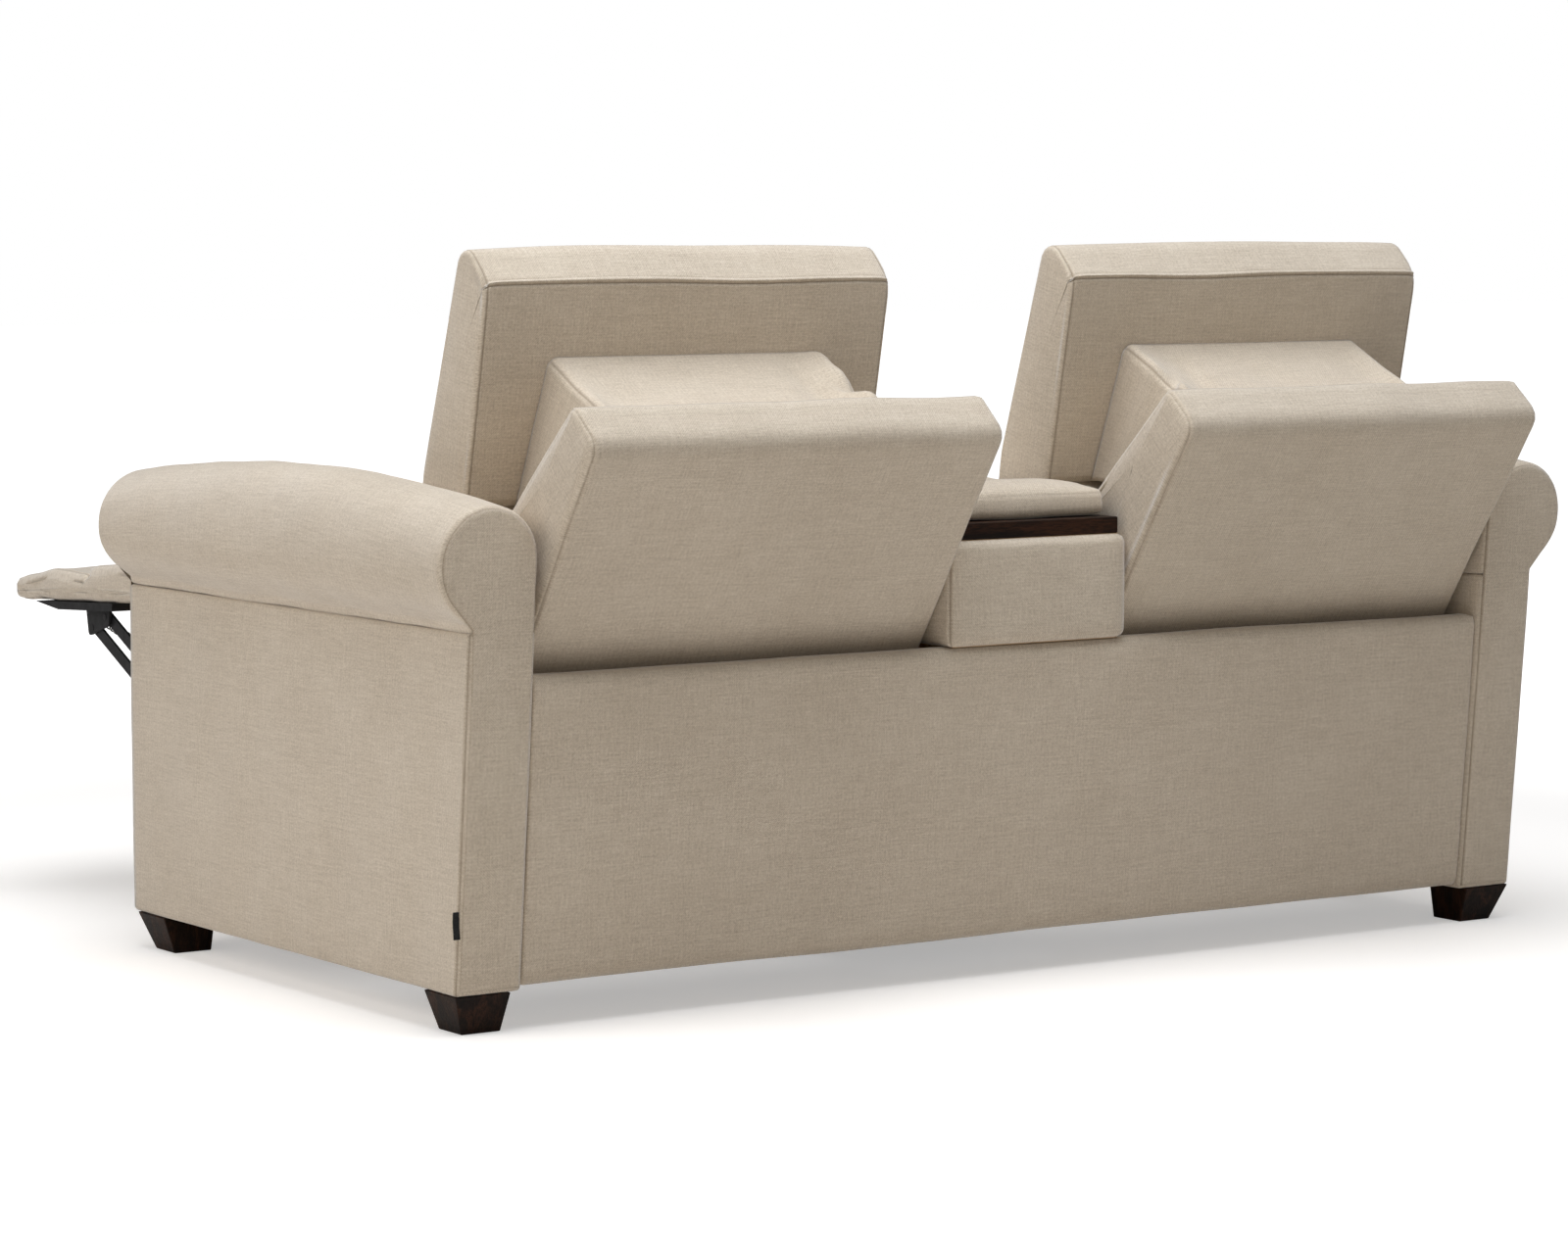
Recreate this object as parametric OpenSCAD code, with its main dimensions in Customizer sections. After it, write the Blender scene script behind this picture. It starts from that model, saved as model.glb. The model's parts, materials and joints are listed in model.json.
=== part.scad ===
// Two-seat reclining sofa with rolled arms and a drop-down console between the seats.
// Millimetres, +Z up, +X to the sitter's left, the sofa faces -Y. The origin is on the
// floor under the middle of the sofa as it stands here, with both seats laid back.

/* [Layout] */
// Width of each seat
seat_w = 618; // [560:2:680]
// Clearance between the swinging console arm and each side of its bay
console_side_gap = 11; // [9:0.5:20]
// Gap between a seat and the console
console_gap = 4; // [3:0.5:8]
// Gap between a seat and the arm beside it
arm_gap = 8; // [7:0.5:12]
// Distance from the origin to the rear foot of the arms
rear_y = 660; // [600:5:720]
// Height of the feet
foot_h = 51; // [40:1:70]
// Backward lean of the rear face
rear_lean = 5; // [2:0.5:7]

/* [Arms] */
// Thickness of the arm panel
arm_t = 94; // [80:1:110]
// Depth of the arm, front to rear, at the floor end
arm_depth = 882; // [860:2:900]
// Height of the seam under the rolled top
arm_seam_z = 502; // [490:1:520]
// Half width of the rolled top
roll_rx = 70; // [60:1:74]
// Half height of the rolled top at its ends
roll_rz = 73; // [64:1:80]
// Height of the roll's centre above the seam
roll_rise = 83; // [78:1:90]
// Extra height of the roll in the middle of its length
roll_crown = 30; // [10:1:40]
// Distance of the crown's highest point from the rear of the arm
roll_peak_y = 400; // [340:5:460]
// Thickness of the fabric and foam on the arm panel
arm_skin = 12; // [8:1:16]
// Thickness of the timber in the arm frame
timber_t = 22; // [18:1:30]

/* [Feet] */
// Width of a foot at its top
foot_top_w = 79; // [70:1:86]
// Width of a foot at the floor
foot_base_w = 56; // [48:1:64]
// Inset of the foot's base from the sofa's outer corner
foot_inset = 18.5; // [10:0.5:22]
// Distance of the front feet behind the arms' front
foot_setback = 16; // [0:1:24]
// Radius of the bolt that holds a foot
foot_bolt_r = 5; // [4:0.5:6]
// Length of the bolt above the foot
foot_bolt_l = 26; // [20:1:34]

/* [Rear panel] */
// Height of the top edge of the low rear panel
panel_top_z = 445; // [430:1:450]
// Thickness of the rear panel
panel_t = 42; // [36:1:44]
// Recess of the rear panel behind the arms' rear faces
panel_recess = 3; // [1:0.5:6]
// Clearance of the rear panel above the feet
panel_lift = 6; // [3:1:12]

/* [Console box] */
// Distance of the console box's rear face behind the rear foot line
box_rear = 35.5; // [34:0.5:44]
// Distance of the fixed console's front face ahead of the rear foot line
box_front = 102; // [96:1:103]
// Height of the upholstered console box
box_h = 140; // [136:1:144]
// Corner radius of the console box
box_r = 14; // [8:1:24]
// Wall of the console box cover
box_skin = 10; // [8:1:14]
// Thickness of the walnut boards on the console
board_t = 22; // [18:1:24]
// Overhang of the box beyond the walnut board at each side
board_inset = 9; // [6:0.5:12]
// Inset of the walnut board's rear edge from the box's rear face
board_rear_inset = 9.5; // [5:0.5:16]
// Inset of the rear pad behind the board's rear edge
pad_rear_inset = 23; // [14:1:30]
// Height of the pads on the console boards
pad_h = 55; // [44:1:60]

/* [Console arm] */
// Half width of the swinging console arm
console_arm_half_w = 135; // [125:1:150]
// Distance of the console arm's pivot ahead of the rear foot line
console_pivot_y = 215; // [210:1:220]
// Height of the console arm's pivot
console_pivot_z = 569; // [566:1:574]
// Length of the console arm ahead of its pivot
console_reach = 390; // [360:2:400]
// Half thickness of the console arm at its pivot
console_half_h = 91; // [86:1:92]
// Radius of the console arm's rounded rear corners
console_corner_r = 45; // [44:1:60]
// Radius of the console pivot pins
console_pin_r = 8; // [6:0.5:10]
// Running clearance of the console pins
pin_fit = 0.1; // [0.05:0.01:0.1]
// Inner radius of the cup holders
cup_r = 36.5; // [34:0.5:40]
// Depth of the cup holders
cup_depth = 56; // [44:1:62]
// Wall of the cup holders
cup_wall = 1.5; // [1:0.25:2]
// Half of the distance between the two cup holders
cup_half_pitch = 62; // [56:1:72]
// Distance of the cup holders from the console arm's front end
cup_front = 60; // [52:1:64]
// Length of the bare walnut tray ahead of the console pad
tray_bare = 125; // [116:1:135]

/* [Seat] */
// Height of the seat deck's upper face
deck_z = 388; // [384:1:392]
// Thickness of the seat deck
deck_t = 8; // [7:0.5:9]
// Thickness of the seat cushion at its edges
cushion_h = 116; // [106:1:120]
// Extra height of a cushion in the middle
crown = 10; // [4:1:14]
// Distance of the seat cushion's front ahead of the rear foot line
cushion_front = 985; // [975:1:988]
// Distance of the seat cushion's rear end ahead of the rear foot line
cushion_back = 430; // [430:1:450]
// Rearward travel of the seat when the back comes upright
seat_travel = 45; // [30:1:50]
// Thickness of the steel side plates
plate_t = 6; // [4:0.5:8]
// Height of the side plates' lower edge
plate_low_z = 300; // [290:1:305]
// Radius of the cross tubes
tube_r = 11; // [8:0.5:13]
// Width of the gap between a side plate and the seat's edge
plate_inset = 22; // [18:1:24]
// Height of the slide runner
runner_h = 20; // [14:1:26]
// Thickness of the slide rail
rail_t = 4; // [3:0.5:5]

/* [Back] */
// Distance of the recline pivot ahead of the rear foot line
hinge_y = 190; // [186:1:194]
// Height of the recline pivot
hinge_z = 400; // [397:1:403]
// Radius of the recline pins
hinge_pin_r = 7; // [5:0.5:9]
// Angle of the back's front face from vertical as it lies here
back_slope = 47.3; // [45:0.1:48]
// Travel of the back from laid back to upright
back_range = 28; // [20:1:28]
// Distance from the recline pivot to the rear shell's front plane
shell_front = 78; // [76:0.5:80]
// Thickness of the rear shell at its top
shell_top_t = 76; // [66:1:78]
// Distance along the back from the pivot to the shell's top
shell_top = 475; // [450:1:476]
// Extra height of the shell's rear top corner
shell_peak = 13; // [6:1:16]
// Angle between the shell's front and rear faces
shell_taper = 14.3; // [13:0.1:15]
// Thickness of the shell's lower board
shell_board_t = 40; // [30:1:42]
// Distance along the back from the pivot to the shell's lower edge
shell_low = 35; // [30:1:44]
// Distance along the back from the pivot to the shell block's underside
shell_block_low = 152; // [148:1:170]
// Thickness of the back frame's stiles
stile_t = 25; // [18:1:25]
// Thickness of the back cushion
back_cushion_t = 121; // [110:1:121]
// Distance from the recline pivot down to the back cushion's lower end
back_cushion_low = 57; // [50:1:58]

/* [Headrest] */
// Distance along the back from the recline pivot to the headrest pivot
head_up = 146.3; // [144:0.5:150]
// Distance from the recline pivot forward to the headrest pivot
head_fore = 145.3; // [144:0.5:147]
// Radius of the padded roll that the headrest turns on
head_roll_r = 79; // [74:0.5:79.5]
// Forward tilt of the headrest from the back's slope
head_tilt = 36; // [34:0.5:38]
// Travel of the headrest from raised to folded back
head_range = 31; // [20:1:31]
// Height of the headrest's rear top edge above its pivot
head_rear_h = 328; // [300:1:334]
// Height of the headrest's front top edge above its pivot
head_front_h = 376; // [340:1:380]
// Thickness of the headrest at its top
head_top_t = 75; // [64:1:80]
// Distance of the headrest's rear face behind its pivot
head_rear = 26; // [22:0.5:28]
// Thickness of the headrest at its lower end
head_low_t = 115; // [104:1:116]
// Length of the lip below the headrest's front
head_lip = 58; // [54:1:62]
// Thickness of the flap behind the headrest that hangs past the cushion's roll
head_flap_t = 15; // [12:1:17]
// Radius of the roll's core, which the flap turns round
head_core_r = 44; // [43:0.5:48]
// Radius of the headrest pins
head_pin_r = 5; // [4:0.5:7]

/* [Gusset] */
// Inset of the gusset from each side of the seat
gusset_inset = 99; // [60:1:110]
// Height of the gusset's top edge above the headrest pivot, along the headrest
gusset_top = 234; // [215:1:240]
// Thickness of the gusset's cloth and lining
gusset_t = 4; // [3:0.5:6]
// Drop from the shell's top to where the gusset is sewn to it
gusset_drop = 58; // [40:1:70]

/* [Footrest] */
// Distance of the seat plates' front end ahead of the rear foot line
fold_y = 900; // [896:1:902]
// Distance of the footrest's drive tube behind the seat plates' front end
fold_set = 140; // [134:1:146]
// Height of the footrest's drive tube
fold_z = 370; // [366:1:370]
// Length of the drive link
drive_l = 197.5; // [190:0.5:200]
// Angle of the drive link as the footrest lies open
drive_angle = 204.5; // [203:0.5:206]
// Length of the carrying link
carry_l = 316.4; // [312:0.1:320]
// Angle of the carrying link
carry_angle = 154.4; // [153:0.1:156]
// Distance between the paired pivots of the control links
pair_l = 45; // [42:1:54]
// Width of a link
link_w = 18; // [14:1:20]
// Thickness of a link
link_t = 4; // [3:0.5:4]
// Gap between neighbouring links
link_gap = 1; // [0.6:0.1:1.5]
// Radius of the drive tube
drive_tube_r = 7.5; // [6:0.5:8]
// Radius of the link rivets
rivet_r = 5; // [4:0.5:6]
// Travel of the footrest from open to folded
fold_range = 87; // [70:1:87]
// Length of the footrest from its tip to its rear end
ottoman_l = 451; // [430:1:452]
// Length of the front section of the footrest
ottoman_tip_l = 246; // [230:1:250]
// Thickness of the footrest's front section
ottoman_tip_t = 47; // [40:1:50]
// Thickness of the footrest's rear section
ottoman_rear_t = 56; // [50:1:58]
// Downward tilt of the footrest towards its tip
ottoman_tilt = 3; // [2:0.5:4]
// Distance of the footrest's bracket pivot from its tip
ottoman_pivot = 262; // [258:1:264]
// Distance of the footrest's bracket pivot below its pads
ottoman_drop = 22; // [21:0.5:26]
// Thickness of the black board under the footrest
ottoman_board_t = 12; // [9:1:12]
// Distance of the board's front edge from the tip
ottoman_board_front = 74; // [60:1:90]
// Distance of the board's rear edge from the tip
ottoman_board_rear = 323; // [310:1:324]
// Radius of the extension springs
spring_r = 7; // [6:0.5:8]
// Radius of the spring wire
spring_wire_r = 1.2; // [1:0.1:1.4]

/* [Switches] */
// Distance of the switch plate's centre behind the arm's front end
switch_set = 102; // [80:2:180]
// Height of the switch plate's centre
switch_z = 552; // [545:1:560]
// Length of the switch plate
switch_l = 92; // [84:1:100]
// Height of the switch plate
switch_h = 34; // [28:1:40]
// Depth of the switch plate
switch_t = 7; // [6:0.5:7]
// Radius of a push button
button_r = 11; // [8:0.5:12]
// Travel of a push button
button_travel = 2; // [1:0.5:2.5]
// Clearance round a push button
button_fit = 0.4; // [0.3:0.1:0.6]

/* [Tag] */
// Height of the blank seam tag's centre
tag_z = 141; // [120:1:160]
// Height of the seam tag
tag_h = 34; // [24:1:40]
// Length of the seam tag outside the seam
tag_out = 6; // [4:1:14]
// Thickness of the seam tag's ribbon
tag_t = 1.6; // [1:0.2:2.4]

/* [Hidden] */
$fn = 48;

// Clearance that keeps neighbouring soft faces apart
soft_gap = 0.3;
// Overrun of every cut
cut = 1;
// Clearance round each link rivet, bore to shaft
rivet_fit = 0.05;

// Places across the sofa
console_half = console_arm_half_w + console_side_gap;
seat_x0 = console_half + console_gap;
seat_x1 = seat_x0 + seat_w;
seat_mid = seat_x0 + seat_w / 2;
arm_x0 = seat_x1 + arm_gap;
arm_x1 = arm_x0 + arm_t;
wall_t = 18;

// Places within one seat, measured outwards from the seat's middle
plate_out = seat_w / 2 - plate_inset;
plate_in = plate_out - plate_t;
link_one = plate_in - link_gap - link_t;
link_two = link_one - link_gap - link_t;
back_plate = plate_in - link_gap - plate_t;

// Pivots of one footrest linkage, as [y, z] ahead of the rear foot line
function polar(r, a) = [r * cos(a), r * sin(a)];
fold_o = [-fold_y + fold_set, fold_z];
fold_j = fold_o + polar(drive_l, drive_angle);
fold_k = fold_j + polar(carry_l, carry_angle);
pair_back = polar(-pair_l, carry_angle);
pair_fore = polar(pair_l, drive_angle);
fold_o2 = fold_o + pair_back;
fold_j2 = fold_j + pair_back;
fold_m = fold_j + pair_fore;
fold_n = fold_k + pair_fore;

fabric = "#b9b0a3";
walnut = "#4a3328";
steel = "#4b4c4e";
timber = "#c9a878";
dark = "#1d1d1f";

function lean(z) = (z - foot_h) * tan(rear_lean);
function unit(v) = v / norm(v);
function side_of(s) = s < 0 ? [1, 0, 0] : [0, 0, 0];

// Points of a corner of an outline, rounded to a radius
function corner(pts, radii, i, n) =
    let (
        m = len(pts),
        p = pts[i],
        a = unit(pts[(i + m - 1) % m] - p),
        b = unit(pts[(i + 1) % m] - p),
        half = acos(a * b) / 2,
        r = radii[i],
        c = p + unit(a + b) * r / sin(half),
        s = p + a * r / tan(half) - c,
        e = p + b * r / tan(half) - c,
        a0 = atan2(s[1], s[0]),
        turn = (atan2(e[1], e[0]) - a0 + 540) % 360 - 180
    )
    [for (k = [0 : n]) c + polar(r, a0 + turn * k / n)];
function rounded(pts, radii, n) = [for (i = [0 : len(pts) - 1]) each corner(pts, radii, i, n)];

// Points on an arc
function arc(c, r, a0, a1, n) = [for (k = [0 : n]) c + polar(r, a0 + (a1 - a0) * k / n)];

// Unit normal that points into an outline whose points run anticlockwise
function inward(pts, i) =
    let (m = len(pts), d = unit(pts[(i + 1) % m] - pts[(i + m - 1) % m])) [-d[1], d[0]];

// Distance that a pillow's outline draws in at a share of its half length
function draw_in(share, half, edge, drop) =
    let (left = min(edge, half * (1 - abs(share))))
    edge - sqrt(edge * edge - (edge - left) * (edge - left)) + drop * share * share;

module move_back() {
    translate([0, rear_y, 0])
        children();
}

module on_side(s) {
    mirror(side_of(s))
        move_back()
            children();
}

// A YZ outline extruded along X
module along_x(x0, x1) {
    translate([x0, 0, 0])
        rotate([90, 0, 90])
            linear_extrude(x1 - x0)
                children();
}

// The same piece at both sides of one seat, with X measured outwards from its middle
module both_sides() {
    for (m = [0, 1])
        translate([seat_mid, 0, 0])
            mirror([m, 0, 0])
                children();
}

// A padded form along X: one outline, drawn in towards both ends and in the end faces
module pillow(outline, core, x0, x1, edge, drop, steps) {
    m = len(outline);
    half = (x1 - x0) / 2;
    shares = [for (i = [0 : steps]) -cos(180 * i / steps)];
    rings = [for (s = shares) for (i = [0 : m - 1])
        let (p = outline[i] + inward(outline, i) * draw_in(s, half, edge, drop))
        [x0 + half + half * s, p[0], p[1]]];
    ends = [[x0 + drop, core[0], core[1]], [x1 - drop, core[0], core[1]]];
    walls = [for (k = [0 : steps - 1]) for (i = [0 : m - 1])
        let (a = k * m + i, b = k * m + (i + 1) % m)
        each [[a, b, a + m], [b, b + m, a + m]]];
    first = [for (i = [0 : m - 1]) [(i + 1) % m, i, (steps + 1) * m]];
    last = [for (i = [0 : m - 1]) [steps * m + i, steps * m + (i + 1) % m, (steps + 1) * m + 1]];
    polyhedron([each rings, each ends], [each walls, each first, each last]);
}

// A flat link between two pivots, with its ends round
module link_shape(a, b, w) {
    d = b - a;
    translate(a)
        rotate(atan2(d[1], d[0])) {
            circle(w / 2);
            translate([norm(d), 0])
                circle(w / 2);
            translate([0, -w / 2])
                square([norm(d), w]);
        }
}

module hole_at(p, r) {
    translate(p)
        circle(r);
}

// A round rivet or pin along X at a pivot
module pin_at(p, r, x0, x1) {
    along_x(x0, x1)
        hole_at(p, r);
}

module block(low, high) {
    translate(low)
        cube(high - low);
}

// Base

rail_z0 = foot_h + 9;
rail_h = 38;
rail_t_wood = 20;
rail_setback = 20;

module base_frame() {
    color(timber)
        move_back() {
            base_timbers();
            rear_panel_frame();
            console_box_frame();
        }
}

module base_timbers() {
    front = -arm_depth + rail_setback;
    rear = -panel_t - rail_setback;
    wall_z = rail_z0 + rail_h;
    block([-arm_x0, front, rail_z0], [arm_x0, front + rail_t_wood, wall_z]);
    block([-arm_x0, rear - rail_t_wood, rail_z0], [arm_x0, rear, wall_z]);
    for (s = [-1, 1])
        mirror(side_of(s))
            block([console_half - wall_t, front, wall_z], [console_half, rear + rail_setback / 4, panel_top_z]);
}

// Outline of the low rear panel, with an inset for what lies inside it
function panel_outline(inset) =
    let (
        z0 = foot_h + panel_lift + inset,
        z1 = panel_top_z - inset,
        back = -panel_recess - inset,
        front = -panel_recess - panel_t + inset
    )
    [[front + lean(z0), z0], [back + lean(z0), z0], [back + lean(z1), z1], [front + lean(z1), z1]];

module rear_panel_cover() {
    r = panel_t / 4;
    w = arm_x0 - soft_gap;
    color(fabric)
        move_back()
            difference() {
                along_x(-w, w)
                    polygon(rounded(panel_outline(0), [r / 2, r / 2, r, r], 4));
                along_x(-w + arm_skin, w - arm_skin)
                    polygon(panel_outline(arm_skin));
            }
}

module rear_panel_frame() {
    w = arm_x0 - arm_skin - soft_gap * 2;
    inset = arm_skin + soft_gap;
    difference() {
        along_x(-w, w)
            polygon(panel_outline(inset));
        for (s = [-1, 1])
            mirror(side_of(s))
                block([timber_t / 2, -arm_depth, foot_h + arm_skin + rail_h],
                      [w - rail_h, rear_y, panel_top_z - arm_skin - rail_h]);
    }
}

// One tapered block: two crossed wedges leave a square foot with four sloping faces
module foot_shape() {
    in_slope = foot_top_w - foot_base_w - foot_inset;
    slope = [[foot_inset, 0], [foot_inset + foot_base_w, 0],
             [foot_inset + foot_base_w + in_slope, foot_h], [0, foot_h]];
    intersection() {
        along_x(-foot_top_w, foot_top_w)
            polygon(slope);
        rotate([0, 0, -90])
            along_x(-foot_top_w, foot_top_w)
                polygon(slope);
    }
}

module at_feet() {
    for (s = [-1, 1])
        mirror(side_of(s))
            move_back() {
                translate([arm_x1, -arm_depth + foot_setback, 0])
                    mirror([1, 0, 0])
                        children();
                translate([arm_x1, 0, 0])
                    mirror([1, 0, 0])
                        mirror([0, 1, 0])
                            children();
            }
}

module foot_blocks() {
    color(walnut)
        at_feet()
            foot_bored();
}

module foot_bored() {
    difference() {
        foot_shape();
        translate([foot_top_w / 2, foot_top_w / 2, foot_h / 2])
            cylinder(h = foot_h, r = foot_bolt_r);
    }
}

module foot_bolts() {
    color(steel)
        at_feet()
            translate([foot_top_w / 2, foot_top_w / 2, foot_h / 2])
                cylinder(h = foot_h / 2 + foot_bolt_l, r = foot_bolt_r - rivet_fit);
}

// Arms

function arm_outline(inset) =
    let (z0 = foot_h + inset, z1 = arm_seam_z - inset)
    [[-arm_depth + inset, z0], [-inset + lean(z0), z0], [-inset + lean(z1), z1], [-arm_depth + inset, z1]];

module arm_panel(s) {
    color(fabric)
        on_side(s)
            difference() {
                along_x(arm_x0, arm_x1)
                    polygon(arm_outline(0));
                along_x(arm_x0 + arm_skin, arm_x1 - arm_skin)
                    polygon(arm_outline(arm_skin));
                for (y = [-foot_top_w / 2, foot_top_w / 2 + foot_setback - arm_depth])
                    translate([arm_x1 - foot_top_w / 2, y, foot_h - cut])
                        cylinder(h = arm_skin + cut * 2, r = foot_bolt_r);
            }
}

module arm_frame(s) {
    inset = arm_skin + soft_gap;
    bay = inset + timber_t * 2;
    color(timber)
        on_side(s)
            difference() {
                along_x(arm_x0 + inset, arm_x1 - inset)
                    polygon(arm_outline(inset));
                along_x(arm_x0, arm_x1)
                    polygon(arm_outline(bay));
                for (y = [-foot_top_w / 2, foot_top_w / 2 + foot_setback - arm_depth])
                    translate([arm_x1 - foot_top_w / 2, y, foot_h])
                        cylinder(h = foot_bolt_l + soft_gap, r = foot_bolt_r);
            }
}

// Section of the rolled top: a flat inner face, then an ellipse down to the neck
function roll_section(top) =
    let (neck = -55, steps = 14)
    [[0, 0], each [for (k = [0 : steps])
        let (a = 180 + (neck - 180) * k / steps)
        [roll_rx + roll_rx * cos(a), roll_rise + (a > 0 ? roll_rz + top : roll_rz) * sin(a)]],
     [arm_t, roll_rise / 12], [arm_t - roll_rise / 12, 0]];

module arm_roll(s) {
    steps = 12;
    shares = [for (k = [0 : steps]) k / steps];
    count = len(roll_section(0));
    rings = [for (t = shares)
        let (
            rear = lean(arm_seam_z + roll_rise),
            y = -arm_depth + (arm_depth + rear) * t,
            reach = y > -roll_peak_y ? rear + roll_peak_y : arm_depth - roll_peak_y,
            away = (y + roll_peak_y) / reach,
            top = roll_crown * (1 - away * away)
        )
        for (p = roll_section(top))
            let (z = arm_seam_z + soft_gap + p[1])
            [arm_x0 + p[0], -arm_depth + (arm_depth + lean(z)) * t, z]];
    walls = [for (k = [0 : steps - 1]) for (i = [0 : count - 1])
        let (a = k * count + i, b = k * count + (i + 1) % count)
        each [[a, a + count, b], [b, a + count, b + count]]];
    front = [for (i = [0 : count - 1]) i];
    back = [for (i = [0 : count - 1]) steps * count + count - 1 - i];
    color(fabric)
        on_side(s)
            polyhedron(rings, [each walls, front, back]);
}

module seam_tag() {
    y = lean(tag_z) - tag_t * 2;
    color(dark)
        move_back()
            translate([arm_x1 + soft_gap, y, tag_z - tag_h / 2])
                cube([tag_out, tag_t, tag_h]);
}

// Slide rails: an angle on each side of each seat, with the seat's runner on its flange
module slide_rails() {
    color(steel)
        for (s = [-1, 1])
            on_side(s) {
                rail(console_half, seat_mid - plate_out - link_gap);
                rail(arm_x0, seat_mid + plate_out + link_gap);
            }
}

rail_front = 800;
rail_rear = 110;

module rail(face, edge) {
    side = sign(edge - face);
    z0 = plate_low_z - rail_t;
    x0 = min(face, edge);
    x1 = max(face, edge);
    block([x0, -rail_front, z0], [x1, -rail_rear, plate_low_z - soft_gap]);
    block([side > 0 ? face : face - rail_t, -rail_front, z0],
          [side > 0 ? face + rail_t - link_gap : face, -rail_rear, plate_low_z + runner_h]);
}

// Switches on the inner face of each arm

module at_switch(s) {
    on_side(s)
        translate([arm_x0 - soft_gap, switch_set - arm_depth, switch_z])
            rotate([0, -90, 0])
                children();
}

button_pitch = switch_l / 4;

module switch_plates() {
    color(dark)
        for (s = [-1, 1])
            at_switch(s)
                difference() {
                    translate([-switch_h / 2, -switch_l / 2, 0])
                        cube([switch_h, switch_l, switch_t]);
                    for (m = [-1, 1])
                        translate([0, m * button_pitch, switch_t / 3])
                            cylinder(h = switch_t, r = button_r + button_fit);
                }
}

// A button stands in its pocket, clear of the floor by its travel
module push_button(s, m) {
    color(steel)
        at_switch(s)
            translate([0, m * button_pitch, switch_t / 3 + button_travel + soft_gap])
                cylinder(h = switch_t * 2 / 3 - button_travel / 2, r = button_r);
}

// Fixed part of the console

function box_outline(inset) =
    let (x = console_half - inset, y0 = -box_front + inset, y1 = box_rear - inset)
    [[-x, y0], [x, y0], [x, y1], [-x, y1]];

module console_box_cover() {
    radii = [box_r / 2, box_r / 2, box_r, box_r];
    color(fabric)
        move_back()
            difference() {
                translate([0, 0, panel_top_z])
                    linear_extrude(box_h)
                        polygon(rounded(box_outline(0), radii, 6));
                translate([0, 0, panel_top_z - cut])
                    linear_extrude(box_h + cut * 2)
                        polygon(box_outline(box_skin));
            }
}

module console_box_frame() {
    z0 = panel_top_z + soft_gap;
    wall = box_skin + soft_gap;
    difference() {
        translate([0, 0, z0])
            linear_extrude(box_h - soft_gap)
                polygon(box_outline(wall));
        translate([0, 0, z0 - cut])
            linear_extrude(box_h - wall_t + cut)
                polygon(box_outline(wall + wall_t));
    }
}

board_z = panel_top_z + box_h;
board_top = board_z + board_t;

module console_rear_board() {
    x = console_half - board_inset;
    y1 = box_rear - board_rear_inset;
    r = board_t / 5;
    color(walnut)
        move_back()
            translate([0, 0, board_z])
                linear_extrude(board_t)
                    polygon(rounded([[-x, -box_front], [x, -box_front], [x, y1], [-x, y1]], [r, r, r, r], 4));
}

// A crowned pad on a board, from y0 to y1
module board_pad(x, y0, y1, z0) {
    r = pad_h / 3;
    top = z0 + pad_h;
    mid = (y0 + y1) / 2;
    outline = rounded([[y0, z0], [y1, z0], [y1, top - crown], [mid, top], [y0, top - crown]],
                      [r / 2, r / 2, r, (y1 - y0) / 2, r], 3);
    pillow(outline, [mid, (z0 + top) / 2], -x, x, r / 2, crown / 2, 10);
}

module console_rear_pad() {
    x = console_half - board_inset;
    color(fabric)
        move_back()
            board_pad(x, -box_front, box_rear - board_rear_inset - pad_rear_inset, board_top + soft_gap);
}

bracket_gap = 2.5;

module console_brackets() {
    x0 = console_arm_half_w + bracket_gap;
    eye = [-console_pivot_y, console_pivot_z];
    eye_r = console_pin_r * 2.5;
    rear = -box_front - soft_gap;
    color(steel)
        for (s = [-1, 1])
            on_side(s)
                along_x(x0, x0 + plate_t)
                    difference() {
                        union() {
                            hole_at(eye, eye_r);
                            polygon([[eye[0] - eye_r, eye[1]], [eye[0] - eye_r, panel_top_z],
                                     [rear, panel_top_z], [rear, eye[1] + eye_r], [eye[0], eye[1] + eye_r]]);
                        }
                        hole_at(eye, console_pin_r + pin_fit);
                    }
}

module centre_seat_pad() {
    z0 = panel_top_z + soft_gap;
    sweep = console_half_h + console_corner_r * 0.42 - board_t / 4;
    y1 = -console_pivot_y - sweep / 2;
    color(fabric)
        move_back()
            block([-console_arm_half_w, -arm_depth + rail_setback, z0],
                  [console_arm_half_w, y1, z0 + board_t]);
}

module centre_front_panel() {
    front = -arm_depth + rail_setback;
    color(fabric)
        move_back()
            block([-console_half, front - arm_skin - soft_gap, foot_h + panel_lift],
                  [console_half, front - soft_gap, panel_top_z]);
}

// Swinging part of the console

arm_rear = -console_pivot_y + console_half_h;
arm_front = -console_pivot_y - console_reach;
arm_low = console_pivot_z - console_half_h;
arm_high = console_pivot_z + console_half_h;
tray_z = board_top - board_t;
cup_y = arm_front + cup_front;
cup_low = board_top - cup_depth - cup_wall;

module console_arm_body() {
    r = console_corner_r;
    top = tray_z - soft_gap;
    pts = [[arm_front, arm_low], [arm_rear, arm_low], [arm_rear, top], [arm_front, top]];
    color(fabric)
        move_back()
            difference() {
                along_x(-console_arm_half_w, console_arm_half_w)
                    polygon(rounded(pts, [r / 2, r, r / 8, r / 4], 8));
                for (m = [-1, 1])
                    translate([m * cup_half_pitch, cup_y, cup_low - soft_gap])
                        cylinder(h = top - cup_low + cut, r = cup_r + cup_wall + soft_gap);
                for (s = [-1, 1])
                    mirror(side_of(s))
                        pin_at([-console_pivot_y, console_pivot_z], console_pin_r,
                               console_arm_half_w - pin_grip, console_arm_half_w + cut);
            }
}

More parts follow.
